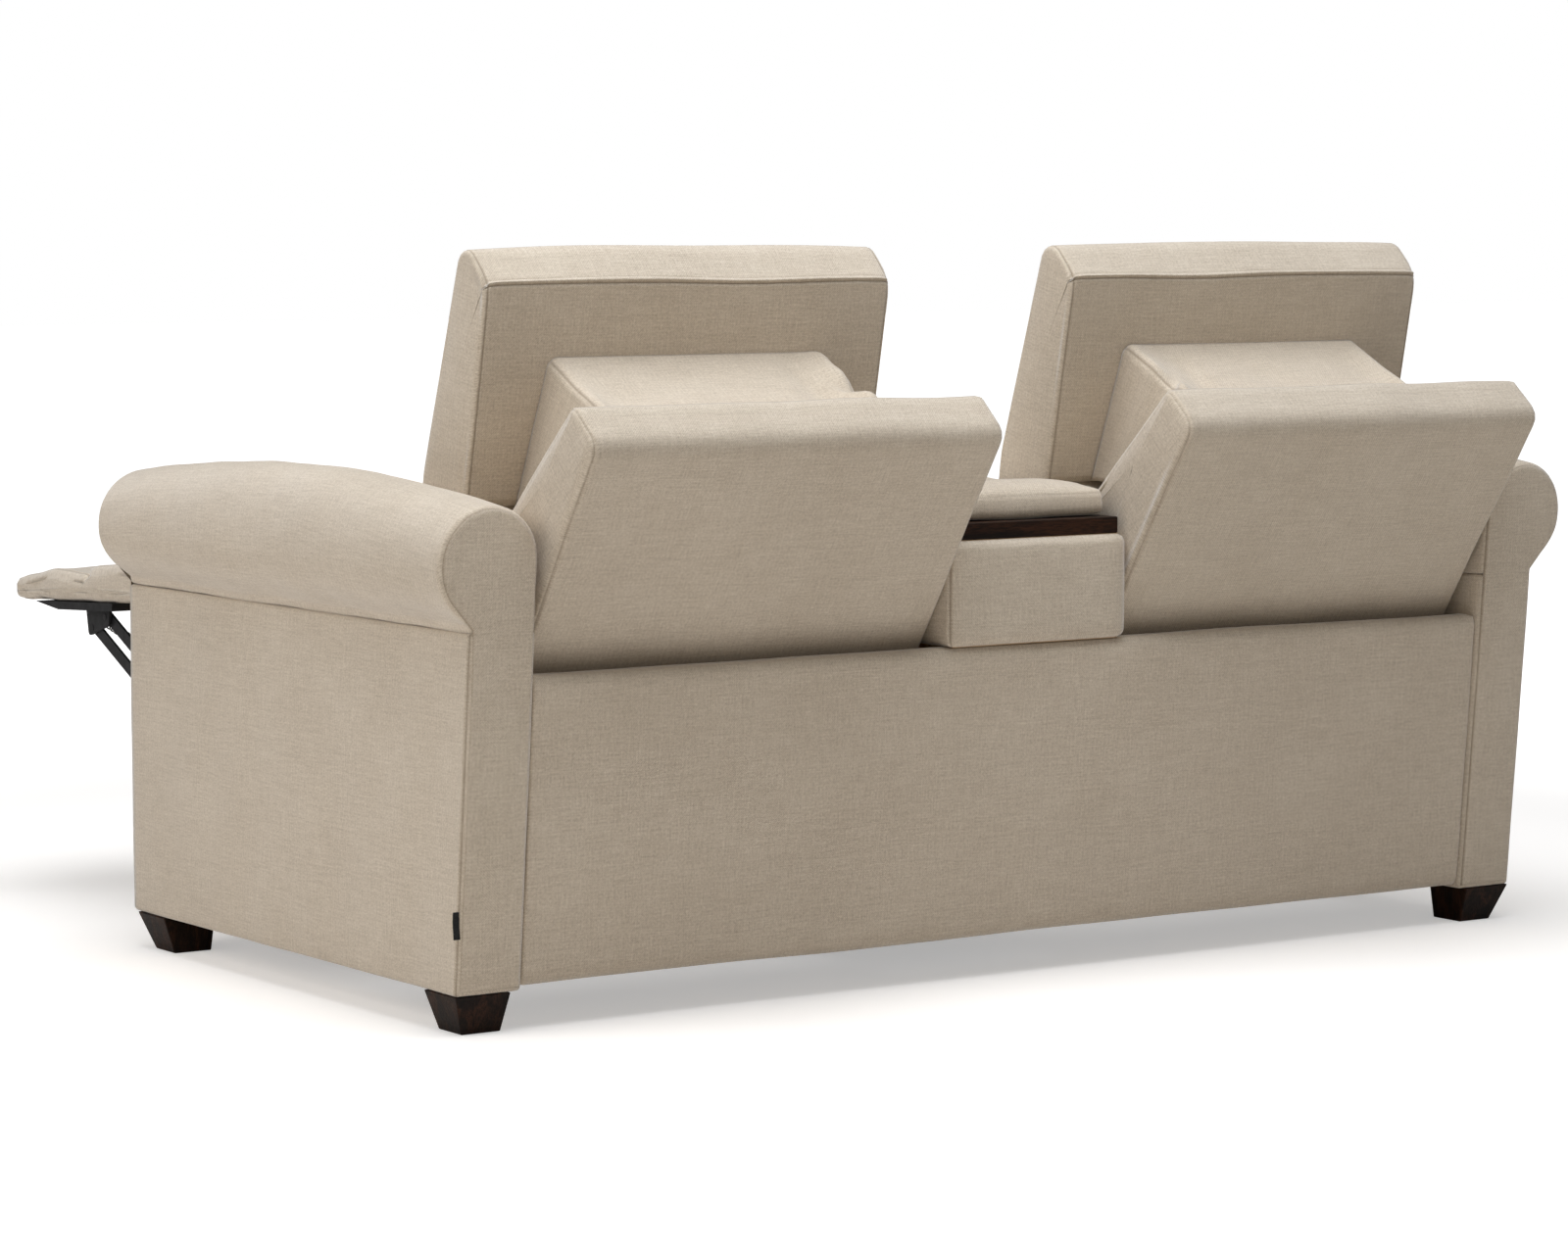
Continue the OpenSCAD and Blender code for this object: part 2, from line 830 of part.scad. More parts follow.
module console_tray() {
    color(walnut)
        move_back()
            difference() {
                block([-console_arm_half_w, arm_front, tray_z], [console_arm_half_w, arm_rear, board_top]);
                for (m = [-1, 1])
                    translate([m * cup_half_pitch, cup_y, tray_z - cut])
                        cylinder(h = board_t + cut * 2, r = cup_r + cup_wall + rivet_fit);
            }
}

module console_arm_pad() {
    z0 = board_top + soft_gap;
    y0 = arm_front + tray_bare;
    r = (arm_high - z0) / 3;
    mid = (y0 + arm_rear) / 2;
    outline = rounded([[y0, z0], [arm_rear, z0], [arm_rear, arm_high - crown], [mid, arm_high],
                       [y0, arm_high - crown]], [r / 2, r / 2, r * 1.5, arm_rear - y0, r], 3);
    color(fabric)
        move_back()
            pillow(outline, [mid, (z0 + arm_high) / 2], -console_arm_half_w, console_arm_half_w,
                   r / 2, crown / 2, 10);
}

module cup_holders() {
    flange = cup_wall * 4;
    color("silver")
        move_back()
            for (m = [-1, 1])
                translate([m * cup_half_pitch, cup_y, cup_low])
                    difference() {
                        union() {
                            cylinder(h = cup_depth + cup_wall, r = cup_r + cup_wall);
                            translate([0, 0, cup_depth + cup_wall])
                                cylinder(h = cup_wall, r = cup_r + flange);
                        }
                        translate([0, 0, cup_wall])
                            cylinder(h = cup_depth + cup_wall + cut, r = cup_r);
                    }
}

pin_grip = 30;

module console_pins() {
    color(steel)
        for (s = [-1, 1])
            on_side(s)
                pin_at([-console_pivot_y, console_pivot_z], console_pin_r,
                       console_arm_half_w - pin_grip, console_arm_half_w + bracket_gap + plate_t);
}

// Seat carriage

plate_top = deck_z - deck_t;
// Height of the side plates where the back swings over them
plate_waist = 362;
hinge = [-hinge_y, hinge_z];
hinge_boss = hinge_pin_r * 2.5;
boss_r = drive_tube_r * 1.9;
runner_front = 740;
runner_rear = 180;

function plate_outline() = [
    [-fold_y + boss_r, plate_low_z], [-hinge_y + hinge_boss, plate_low_z],
    [-hinge_y + hinge_boss, hinge_z], [-hinge_y - hinge_boss, hinge_z],
    [-hinge_y - hinge_boss * 3, plate_waist], [-cushion_back - hinge_boss, plate_waist],
    [-cushion_back - hinge_boss * 2, plate_top], [-fold_y, plate_top],
    [-fold_y - boss_r * 0.7, fold_z], [-fold_y, plate_low_z + boss_r]
];

module seat_plate() {
    along_x(plate_in, plate_out)
        difference() {
            union() {
                polygon(plate_outline());
                hole_at(hinge, hinge_boss);
            }
            hole_at(fold_o, drive_tube_r + rivet_fit);
        }
    pin_at(fold_o2, rivet_r, plate_in, plate_out);
    pin_at(fold_o2, rivet_r, link_one - link_gap / 2, plate_in);
    pin_at(hinge, hinge_pin_r, back_plate - link_gap, plate_in);
    block([plate_out, -runner_front, plate_low_z], [plate_out + plate_inset / 2, -runner_rear, plate_low_z + runner_h]);
}

module seat_frame(s) {
    tubes = [[-cushion_back - hinge_boss * 6, plate_low_z + tube_r * 2],
             [-hinge_y - hinge_boss * 6, plate_low_z + tube_r * 2]];
    color(steel)
        on_side(s) {
            both_sides()
                seat_plate();
            for (p = tubes)
                pin_at(p, tube_r, seat_mid - plate_in, seat_mid + plate_in);
        }
}

module seat_deck(s) {
    color(timber)
        on_side(s)
            block([seat_mid - plate_out, -fold_y + boss_r * 2, plate_top],
                  [seat_mid + plate_out, -cushion_back - hinge_boss, deck_z]);
}

module seat_cushion(s) {
    z0 = deck_z + soft_gap;
    z1 = z0 + cushion_h;
    y0 = -cushion_front;
    y1 = -cushion_back;
    mid = (y0 + y1) / 2;
    r = cushion_h / 3;
    outline = rounded([[y0, z0], [y1, z0], [y1, z1 - crown], [mid, z1 + crown], [y0, z1 - crown]],
                      [r / 2, r / 2, r * 0.8, (y1 - y0), r], 4);
    color(fabric)
        on_side(s)
            pillow(outline, [mid, (z0 + z1) / 2], seat_x0, seat_x1, r / 2, crown / 2, 10);
}

// Back: drawn as if standing, with Z along the back's slope, then laid back about its pivot

module in_back() {
    translate([0, -hinge_y, hinge_z])
        rotate([-back_slope, 0, 0])
            children();
}

shell_rear_v = shell_top_t - shell_front;
function shell_rear(u) = shell_rear_v + (shell_top + shell_peak - u) * tan(shell_taper);

module back_shell(s) {
    board = shell_board_t / cos(shell_taper);
    block_u = shell_block_low + shell_board_t * 1.5;
    pts = [
        [shell_rear(shell_top + shell_peak), shell_top + shell_peak],
        [-shell_front, shell_top],
        [-shell_front, shell_block_low],
        [shell_rear(block_u) - board, block_u],
        [shell_rear(shell_low) - board, shell_low - shell_peak * 0.7],
        [shell_rear(shell_low), shell_low]
    ];
    radii = [20, 10, 6, 10, 4, 6];
    color(fabric)
        on_side(s)
            in_back()
                along_x(seat_x0, seat_x1)
                    polygon(rounded(pts, radii, 5));
}

stile_rear = -shell_front - soft_gap;
stile_front = -shell_front - stile_t;
head_pivot = [-head_fore, head_up];
head_plate_t = 4;
head_zone = 16;
// Posts inside the gusset, outwards from the seat's middle, and their top along the back
post_x = seat_w / 2 - gusset_inset - gusset_t - soft_gap;
post_top = shell_top * 0.62;
// Layers at each side of the headrest pivot, outwards from the seat's middle
head_layer = seat_w / 2 - head_zone / 2;
stile_layer = head_layer - link_gap - head_plate_t;

module back_frame_side() {
    eye = head_pin_r * 2.6;
    along_x(back_plate, back_plate + plate_t)
        difference() {
            union() {
                hole_at([0, 0], hinge_boss);
                polygon([[hinge_boss, 0], [stile_rear, shell_block_low - stile_t],
                         [stile_front, shell_block_low - stile_t], [stile_front, 0], [0, -hinge_boss]]);
            }
            hole_at([0, 0], hinge_pin_r + rivet_fit);
        }
    block([back_plate - stile_t, stile_front, 0], [stile_layer, stile_rear, head_up + eye]);
    block([post_x - stile_t, stile_front, stile_t], [post_x, stile_rear, post_top]);
    along_x(stile_layer, stile_layer + head_plate_t)
        difference() {
            union() {
                link_shape(head_pivot, [stile_front, head_up], eye * 2);
                polygon([[stile_front, head_up - eye], [stile_rear, head_up - eye],
                         [stile_rear, head_up + eye], [stile_front, head_up + eye]]);
            }
            hole_at(head_pivot, head_pin_r + rivet_fit);
        }
}

module back_frame(s) {
    color(timber)
        on_side(s)
            in_back() {
                both_sides()
                    back_frame_side();
                block([seat_mid - back_plate + stile_t, stile_front, stile_t],
                      [seat_mid + back_plate - stile_t, stile_rear, stile_t * 3]);
                block([seat_mid - post_x, stile_front, post_top - stile_t * 2],
                      [seat_mid + post_x, stile_rear, post_top]);
            }
}

module back_cushion(s) {
    v1 = stile_front - soft_gap * 5;
    v0 = v1 - back_cushion_t;
    r = back_cushion_t / 4;
    low = -back_cushion_low;
    a1 = acos((v1 + head_fore) / head_core_r);
    cut = head_rear - head_flap_t - soft_gap * 3;
    top = [each arc(head_pivot, head_core_r, a1, head_tilt + acos(cut / head_core_r), 5),
           each arc(head_pivot, head_roll_r, head_tilt + acos(cut / head_roll_r), 180, 6)];
    outline = [each corner([[v0, head_up], [v0, low], [v1, low], [v1, head_up]], [r, r, r, r], 1, 4),
               each corner([[v0, head_up], [v0, low], [v1, low], [v1, head_up]], [r, r, r / 2, r], 2, 4),
               each top];
    color(fabric)
        on_side(s)
            in_back()
                pillow(outline, [(v0 + v1) / 2, head_up / 3], seat_x0 + head_zone, seat_x1 - head_zone,
                       r / 4, crown / 4, 8);
}

module in_headrest() {
    in_back()
        translate([0, -head_fore, head_up])
            rotate([head_tilt, 0, 0])
                children();
}

socket_r = head_roll_r + soft_gap * 3;
// Edge radius at the headrest's ends
head_edge = 5;

module headrest(s) {
    front = head_rear - head_low_t;
    core_r = head_core_r + soft_gap * 3;
    flap = head_rear - head_flap_t;
    a0 = acos(head_rear / core_r);
    a1 = 180 - asin(head_lip * 0.8 / socket_r);
    rear_low = polar(core_r, a0);
    lip = polar(socket_r, a1);
    pts = [rear_low, [head_rear, head_rear_h], [head_rear - head_top_t, head_front_h], [front, head_lip], lip];
    radii = [head_edge, head_edge * 2.5, head_edge * 4, head_edge, head_edge];
    outline = [each arc([0, 0], socket_r, a1, acos(flap / socket_r), 6),
               each arc([0, 0], core_r, acos(flap / core_r), a0, 2), each corner(pts, radii, 1, 4),
               each corner(pts, radii, 2, 4), each corner(pts, radii, 3, 3)];
    color(fabric)
        on_side(s)
            in_headrest()
                pillow(outline, [-head_rear / 2, head_rear_h * 0.55], seat_x0, seat_x1 - soft_gap * 6,
                       head_edge, head_edge / 6, 10);
}

// Steel arms that stand inside the headrest's ends and turn on the back frame's brackets
module headrest_arms(s) {
    rise = head_rear_h * 0.6;
    color(steel)
        on_side(s)
            in_headrest() {
                both_sides() {
                    along_x(head_layer, head_layer + head_plate_t)
                        link_shape([0, 0], [0, rise], head_pin_r * 4);
                    pin_at([0, 0], head_pin_r, stile_layer - link_gap / 2, head_layer);
                }
                pin_at([0, rise], head_pin_r, seat_mid - head_layer, seat_mid + head_layer);
            }
}

// Cloth sleeve between the headrest's rear face and the shell's top edge: a top sheet and two sides
module headrest_gusset(s) {
    low = gusset_low();
    edge = gusset_edge();
    fore = gusset_fore();
    along = unit(fore - edge);
    down = [-along[1], along[0]];
    reach = norm(fore - edge) + norm(fore - low);
    under = [edge - along * reach, fore + along * reach];
    x0 = seat_x0 + gusset_inset;
    x1 = seat_x1 - gusset_inset;
    color(fabric)
        on_side(s)
            in_back()
                difference() {
                    along_x(x0, x1)
                        polygon([low, edge, fore]);
                    along_x(x0 + gusset_t, x1 - gusset_t)
                        polygon([under[0] + down * gusset_t, under[1] + down * gusset_t,
                                 under[1] + down * reach, under[0] + down * reach]);
                }
}

function turned(p, a) = [p[0] * cos(a) - p[1] * sin(a), p[0] * sin(a) + p[1] * cos(a)];
function gusset_fore() = head_pivot + turned([head_rear + soft_gap * 4, gusset_top], head_tilt);
function gusset_low() = head_pivot + turned([head_rear + soft_gap * 4, head_core_r], head_tilt);
function gusset_edge() = [stile_rear - soft_gap, shell_top - gusset_drop];

// Footrest linkage

module drive_links(s) {
    tab = link_w / 2;
    color(steel)
        on_side(s) {
            pin_at(fold_o, drive_tube_r, seat_mid - plate_out, seat_mid + plate_out);
            both_sides()
                along_x(link_one, link_one + link_t)
                    difference() {
                        link_shape(fold_o, fold_m, link_w);
                        hole_at(fold_j, rivet_r + rivet_fit);
                        hole_at(fold_m, rivet_r + rivet_fit);
                    }
        }
}

module carry_links(s) {
    color(steel)
        on_side(s)
            both_sides() {
                along_x(link_two, link_two + link_t)
                    link_shape(fold_j2, fold_k, link_w);
                for (p = [fold_j2, fold_j, fold_k])
                    pin_at(p, rivet_r, link_two, link_one + link_t + link_gap / 2);
                pin_at(spring_back, spring_pin_r, link_two - spring_r * 2, link_two);
            }
}

module rear_control_links(s) {
    color(steel)
        on_side(s)
            both_sides()
                along_x(link_one, link_one + link_t)
                    difference() {
                        link_shape(fold_o2, fold_j2, link_w);
                        hole_at(fold_o2, rivet_r + rivet_fit);
                        hole_at(fold_j2, rivet_r + rivet_fit);
                    }
}

module front_control_links(s) {
    color(steel)
        on_side(s)
            both_sides() {
                along_x(link_two, link_two + link_t)
                    link_shape(fold_m, fold_n, link_w);
                for (p = [fold_m, fold_n])
                    pin_at(p, rivet_r, link_two, link_one + link_t + link_gap / 2);
            }
}

// Footrest, with Y along it from the tip and Z square to its pads

module in_footrest() {
    translate([0, fold_k[0], fold_k[1]])
        rotate([ottoman_tilt, 0, 0])
            translate([0, -ottoman_pivot, ottoman_drop])
                children();
}

function in_foot(p) = turned(p - fold_k, -ottoman_tilt) + [ottoman_pivot, -ottoman_drop];

module footrest_board(s) {
    bevel = ottoman_board_t * 6;
    k = in_foot(fold_k);
    n = in_foot(fold_n);
    base = -ottoman_board_t;
    seat_in = ottoman_board_t / 4;
    low = link_w * 2 / 3;
    color(dark)
        on_side(s)
            in_footrest() {
                along_x(seat_x0 + plate_inset / 2, seat_x1 - plate_inset / 2)
                    polygon([[ottoman_board_front, -soft_gap], [ottoman_board_front, -soft_gap * 4],
                             [ottoman_board_front + bevel, base], [ottoman_board_rear, base],
                             [ottoman_board_rear, -soft_gap]]);
                both_sides() {
                    along_x(link_one, link_one + link_t)
                        difference() {
                            polygon(rounded([[n[0] - low, n[1] - low], [k[0] + low, k[1] - low],
                                             [k[0] + link_w, base + seat_in], [n[0] - link_w, base + seat_in]],
                                            [low / 2, low / 2, seat_in / 4, seat_in / 4], 6));
                            hole_at(k, rivet_r + rivet_fit);
                            hole_at(n, rivet_r + rivet_fit);
                        }
                    pin_at(in_foot(spring_fore), spring_pin_r, link_two - spring_r * 2, link_one + link_t / 2);
                }
            }
}

module footrest_pad(s) {
    groove = ottoman_tip_t / 6;
    t1 = ottoman_tip_t;
    t2 = ottoman_rear_t;
    m = ottoman_tip_l;
    outline = rounded(
        [[0, 0], [ottoman_l, 0], [ottoman_l, t2 - groove], [(ottoman_l + m) / 2, t2],
         [m + groove, t2 - groove / 2], [m, t1 - groove * 2], [m - groove, t1 - groove / 2],
         [m / 2, t1], [0, t1 * 0.72]],
        [t1 / 5, t1 / 5, t2 / 3.5, m, t2 / 8, groove / 4, t1 / 8, m, t1 / 3.6], 3);
    color(fabric)
        on_side(s)
            in_footrest()
                pillow(outline, [m * 0.9, t1 / 2.4], seat_x0 + soft_gap * 10, seat_x1 - soft_gap * 30,
                       t1 / 8, crown / 8, 10);
}

// Extension springs between the footrest bracket and the carrying link

spring_pin_r = 3;
spring_fore = fold_k + (fold_n - fold_k) * 0.62;
spring_back = fold_j + (fold_k - fold_j) * 0.75;
spring_turns = 7;

module footrest_springs(s) {
    color("silver")
        on_side(s)
            both_sides()
                spring_between(spring_fore, spring_back);
}

// One spring wound about the line from a to b, with straight ends that meet the pins
module spring_between(a, b) {
    d = b - a;
    r = spring_r - spring_wire_r;
    gap = spring_pin_r + soft_gap;
    lead = spring_wire_r * 4;
    last = spring_turns * 8;
    rise = (norm(d) - (gap + lead) * 2) / last;
    sides = 6;
    rings = [for (k = [-1 : last + 1])
        let (
            n = min(max(k, 0), last),
            out = [cos(n * 45), sin(n * 45), 0],
            ahead = [-sin(n * 45), cos(n * 45), 0],
            up = [0, 0, 1],
            flat = k < 0 || k > last ? ahead : k == 0 || k == last ? unit(ahead - up) : -up,
            c = out * r + up * (gap + lead + rise * n + (k - n) * lead)
        )
        for (i = [0 : sides - 1])
            c + (out * cos(60 * i) + flat * sin(60 * i)) * spring_wire_r];
    count = last + 3;
    walls = [for (k = [0 : count - 2]) for (i = [0 : sides - 1])
        let (p = k * sides + i, q = k * sides + (i + 1) % sides)
        each [[p, p + sides, q], [q, p + sides, q + sides]]];
    caps = [[for (i = [0 : sides - 1]) i], [for (i = [0 : sides - 1]) count * sides - 1 - i]];
    least = rise * 8 - spring_wire_r * 2;
    echo("least gap between the turns of a footrest spring, mm", least);
    translate([link_two - spring_r - link_gap, a[0], a[1]])
        rotate([atan2(d[1], d[0]) - 90, 0, 0])
            polyhedron(rings, [each walls, each caps]);
}

// Drawing

base_frame();
rear_panel_cover();
foot_blocks();
foot_bolts();
arm_frame(1);  // arm_frame_left
arm_frame(-1);  // arm_frame_right
arm_panel(1);  // arm_panel_left
arm_panel(-1);  // arm_panel_right
arm_roll(1);  // arm_roll_left
arm_roll(-1);  // arm_roll_right
seam_tag();
slide_rails();
switch_plates();
push_button(1, 1);  // open_button_left
push_button(-1, 1);  // open_button_right
push_button(1, -1);  // close_button_left
push_button(-1, -1);  // close_button_right
console_box_cover();
console_rear_board();
console_rear_pad();
console_brackets();
centre_seat_pad();
centre_front_panel();
console_arm_body();
console_tray();
console_arm_pad();
cup_holders();
console_pins();
seat_frame(1);  // seat_frame_left
seat_frame(-1);  // seat_frame_right
seat_deck(1);  // seat_deck_left
seat_deck(-1);  // seat_deck_right
seat_cushion(1);  // seat_cushion_left
seat_cushion(-1);  // seat_cushion_right
back_frame(1);  // back_frame_left
back_frame(-1);  // back_frame_right
back_shell(1);  // back_shell_left
back_shell(-1);  // back_shell_right
back_cushion(1);  // back_cushion_left
back_cushion(-1);  // back_cushion_right
headrest_arms(1);  // headrest_arms_left
headrest_arms(-1);  // headrest_arms_right
headrest(1);  // headrest_left
headrest(-1);  // headrest_right
headrest_gusset(1);  // headrest_gusset_left
headrest_gusset(-1);  // headrest_gusset_right
drive_links(1);  // drive_links_left
drive_links(-1);  // drive_links_right
carry_links(1);  // carry_links_left
carry_links(-1);  // carry_links_right
rear_control_links(1);  // rear_control_links_left
rear_control_links(-1);  // rear_control_links_right
front_control_links(1);  // front_control_links_left
front_control_links(-1);  // front_control_links_right
footrest_board(1);  // footrest_board_left
footrest_board(-1);  // footrest_board_right
footrest_pad(1);  // footrest_pad_left
footrest_pad(-1);  // footrest_pad_right
footrest_springs(1);  // footrest_springs_left
footrest_springs(-1);  // footrest_springs_right
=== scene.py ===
import json
import math

import bmesh
import bpy
import numpy as np
from mathutils import Euler, Matrix, Vector


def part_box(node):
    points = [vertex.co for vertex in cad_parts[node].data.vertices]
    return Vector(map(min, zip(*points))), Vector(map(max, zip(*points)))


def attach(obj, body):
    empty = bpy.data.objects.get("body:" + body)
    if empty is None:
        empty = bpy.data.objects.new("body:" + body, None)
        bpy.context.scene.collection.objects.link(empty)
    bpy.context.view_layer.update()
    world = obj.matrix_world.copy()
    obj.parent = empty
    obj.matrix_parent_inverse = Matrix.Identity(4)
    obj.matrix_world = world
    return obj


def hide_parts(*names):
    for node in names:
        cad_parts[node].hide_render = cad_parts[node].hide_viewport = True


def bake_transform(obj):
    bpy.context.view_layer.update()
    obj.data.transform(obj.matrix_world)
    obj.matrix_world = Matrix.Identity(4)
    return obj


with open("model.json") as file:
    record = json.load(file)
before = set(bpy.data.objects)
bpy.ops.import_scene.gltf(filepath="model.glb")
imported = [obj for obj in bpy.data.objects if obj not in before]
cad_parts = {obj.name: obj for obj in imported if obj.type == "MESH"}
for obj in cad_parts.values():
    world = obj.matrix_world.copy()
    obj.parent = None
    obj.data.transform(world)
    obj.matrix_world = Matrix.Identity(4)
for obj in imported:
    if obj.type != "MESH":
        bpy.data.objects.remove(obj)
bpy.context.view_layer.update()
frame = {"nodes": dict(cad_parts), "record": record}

# Sizes of the sofa, in metres, as in the part's own source. Y runs to the rear.
REAR_Y = 0.660          # from the origin to the arms' rear foot line
FOOT_H = 0.051
LEAN = math.tan(math.radians(5.0))
HINGE = (REAR_Y - 0.190, 0.400)
BACK_SLOPE = math.radians(47.3)
HEAD_TILT = math.radians(36.0)
HEAD_FORE, HEAD_UP, ROLL_R, CORE_R = 0.1453, 0.1463, 0.079, 0.044
HEAD_REAR, HEAD_FLAP = 0.026, 0.015
HEAD_GAP = 0.0009       # between the headrest and the roll that it turns round
HEAD_SLACK = 0.0018     # the headrest is this much narrower than its seat
FOLD_Y, FOLD_Z = REAR_Y - 0.760, 0.370
FOOT_TILT = math.radians(3.0)
DRIVE_LINK, CARRY_LINK = (0.1975, 204.5), (0.3164, 154.4)   # length, and angle in degrees
FOOT_PAD_AT = (0, -0.262, 0.022)
SEAT_X = (0.150, 0.768)
SEAT_MID = sum(SEAT_X) / 2
SIDES = {"left": 1, "right": -1}


# Small helpers

def polar(r, a):
    return np.array([r * math.cos(math.radians(a)), r * math.sin(math.radians(a))])


def lean_at(z):
    """How far the leaning rear face stands behind its foot at height z."""
    return (z - FOOT_H) * LEAN


def smooth(t):
    t = np.clip(t, 0, 1)
    return t * t * (3 - 2 * t)


def hump(v, at, width):
    """A smooth bump, 1 high at a place."""
    return np.exp(-((v - at) / width) ** 2)


def waves(points, seed, size, count=9):
    """A smooth random height field over points: a seeded sum of plane waves about as long as size."""
    rng = np.random.default_rng(seed)
    total = np.zeros(len(points))
    for _ in range(count):
        k = rng.normal(size=3)
        k *= 2 * math.pi / (size * rng.uniform(0.7, 1.6)) / np.linalg.norm(k)
        total += np.sin(points @ k + rng.uniform(0, 2 * math.pi))
    return total / math.sqrt(count)


def fine_steps(low, high, pitch, lines, near=0.0012, reach=0.009):
    """Values from low to high about pitch apart, with close ones round each line."""
    n = max(2, int(round((high - low) / pitch)))
    base = list(np.linspace(low, high, n + 1))
    extra = []
    for c in lines:
        base = [v for v in base if abs(v - c) > reach or v in (low, high)]
        extra.append(c)
        step = offset = near
        while offset < reach:
            extra += [c - offset, c + offset]
            step *= 1.5
            offset += step
    return np.array(sorted(set(round(v, 6) for v in base + [e for e in extra if low < e < high])))


def distances(path):
    """How far each point of a path lies from its start, along the path."""
    return np.concatenate([[0], np.cumsum(np.linalg.norm(np.diff(path, axis=0), axis=1))])


def points_at(s, path):
    """The points that lie at distances s along a path."""
    return np.stack([np.interp(s, distances(path), path[:, k]) for k in (0, 1)], 1)


def resample(path, n):
    """The same closed path with n points, evenly spaced."""
    closed = np.vstack([path, path[:1]])
    return points_at(np.linspace(0, distances(closed)[-1], n, endpoint=False), closed)


def quarter_round(r):
    """A rounded edge: how far along and how far in each of its steps lies."""
    return [(r - r * math.cos(a), r - r * math.sin(a)) for a in np.linspace(0, math.pi / 2, 5)]


def rectangle(x0, y0, x1, y1):
    return [(x0, y0), (x1, y0), (x1, y1), (x0, y1)]


class Outline:
    """A closed outline in two dimensions, anticlockwise, with its corners rounded."""

    def __init__(self, points, radii, arc_step=12):
        pts = [np.array(p, float) for p in points]
        radii = np.broadcast_to(radii, len(pts))
        path, self.corner = [], []
        for i, p in enumerate(pts):
            a, b = pts[i - 1] - p, pts[(i + 1) % len(pts)] - p
            a, b = a / np.linalg.norm(a), b / np.linalg.norm(b)
            half = math.acos(np.clip(a @ b, -1, 1)) / 2
            r = radii[i]
            c = p + (a + b) / np.linalg.norm(a + b) * r / math.sin(half)
            s, e = p + a * r / math.tan(half) - c, p + b * r / math.tan(half) - c
            a0 = math.atan2(s[1], s[0])
            turn = (math.atan2(e[1], e[0]) - a0 + 3 * math.pi) % (2 * math.pi) - math.pi
            n = max(2, int(abs(math.degrees(turn)) / arc_step))
            self.corner.append(len(path) + n // 2)
            path += [c + r * np.array([math.cos(v), math.sin(v)]) for v in a0 + turn * np.arange(n + 1) / n]
        self.closed = np.array(path + path[:1])
        self.s = distances(self.closed)
        self.length = self.s[-1]

    def at(self, s):
        return points_at(s % self.length, self.closed)

    def corner_s(self, i):
        return self.s[self.corner[i]]

    def distance(self, s, place):
        """How far each s lies from a place on the outline, the short way round."""
        return np.abs((s - place + self.length / 2) % self.length - self.length / 2)


def normals_2d(pts):
    d = np.roll(pts, -1, 0) - np.roll(pts, 1, 0)
    d /= np.maximum(np.linalg.norm(d, axis=1), 1e-9)[:, None]
    return np.stack([-d[:, 1], d[:, 0]], 1)


def link_object(name, data):
    ob = bpy.data.objects.new(name, data)
    bpy.context.scene.collection.objects.link(ob)
    return ob


def shade_smooth(me):
    me.polygons.foreach_set("use_smooth", [True] * len(me.polygons))


def mesh_object(name, verts, faces, weave=None, seam=None):
    """A smooth mesh, with its cloth's own coordinates per corner and the strength of its seams' thread colour
    and painted shade per point.
    """
    me = bpy.data.meshes.new(name)
    me.from_pydata([tuple(v) for v in verts], [], [tuple(f) for f in faces])
    me.update()
    shade_smooth(me)
    if weave is not None:
        layer = me.attributes.new("weave", "FLOAT_VECTOR", "CORNER")
        flat = np.zeros((len(weave), 3), np.float32)
        flat[:, :2] = weave
        layer.data.foreach_set("vector", flat.ravel())
    if seam is not None:
        layer = me.attributes.new("seam", "FLOAT", "POINT")
        layer.data.foreach_set("value", np.asarray(seam, np.float32).ravel())
    return link_object(name, me)


def apply_modifiers(ob):
    dg = bpy.context.evaluated_depsgraph_get()
    me = bpy.data.meshes.new_from_object(ob.evaluated_get(dg))
    ob.modifiers.clear()
    ob.data = me


def edit_mesh(ob, change):
    """Runs a change on a mesh's editable form."""
    bm = bmesh.new()
    bm.from_mesh(ob.data)
    change(bm)
    bm.to_mesh(ob.data)
    bm.free()


def close_caps(ob):
    """Joins the vertices that a cap's last ring draws together."""
    edit_mesh(ob, lambda bm: bmesh.ops.remove_doubles(bm, verts=bm.verts, dist=0.00002))


def fix_normals(ob):
    edit_mesh(ob, lambda bm: bmesh.ops.recalc_face_normals(bm, faces=bm.faces))


def mirror(ob):
    """Moves a piece to the other side of X = 0, its faces still outward."""
    ob.data.transform(Matrix.Scale(-1, 4, (1, 0, 0)))
    ob.data.flip_normals()


def skin(name, verts, m, weave_at, seam=None, flat_ends=None, turned=False, frame_matrix=None):
    """Joins rings of m points into a surface. weave_at(k, ring, point, vertex) gives a corner's place in the
    cloth, in the quads after ring k. flat_ends are the cloth's two axes on flat ends, where there are any.
    frame_matrix moves the piece from its own frame to the sofa's."""
    rings = len(verts) // m
    faces, weave = [], []
    for k in range(rings - 1):
        for i in range(m):
            corners = [(k, i), (k, i + 1), (k + 1, i + 1), (k + 1, i)]
            if turned:
                corners[1:] = corners[:0:-1]
            faces.append([r * m + p % m for r, p in corners])
            weave += [weave_at(k, r, p, verts[q]) for (r, p), q in zip(corners, faces[-1])]
    if flat_ends:
        first, last = range(m), range((rings - 1) * m, rings * m)
        for ring in (first, last[::-1]) if turned else (first[::-1], last):
            faces.append(ring)
            weave += [verts[q][flat_ends] for q in ring]
    ob = mesh_object(name, verts, faces, weave, seam)
    if not flat_ends:
        close_caps(ob)
    if frame_matrix is not None:
        ob.data.transform(frame_matrix)
    fix_normals(ob)
    return ob


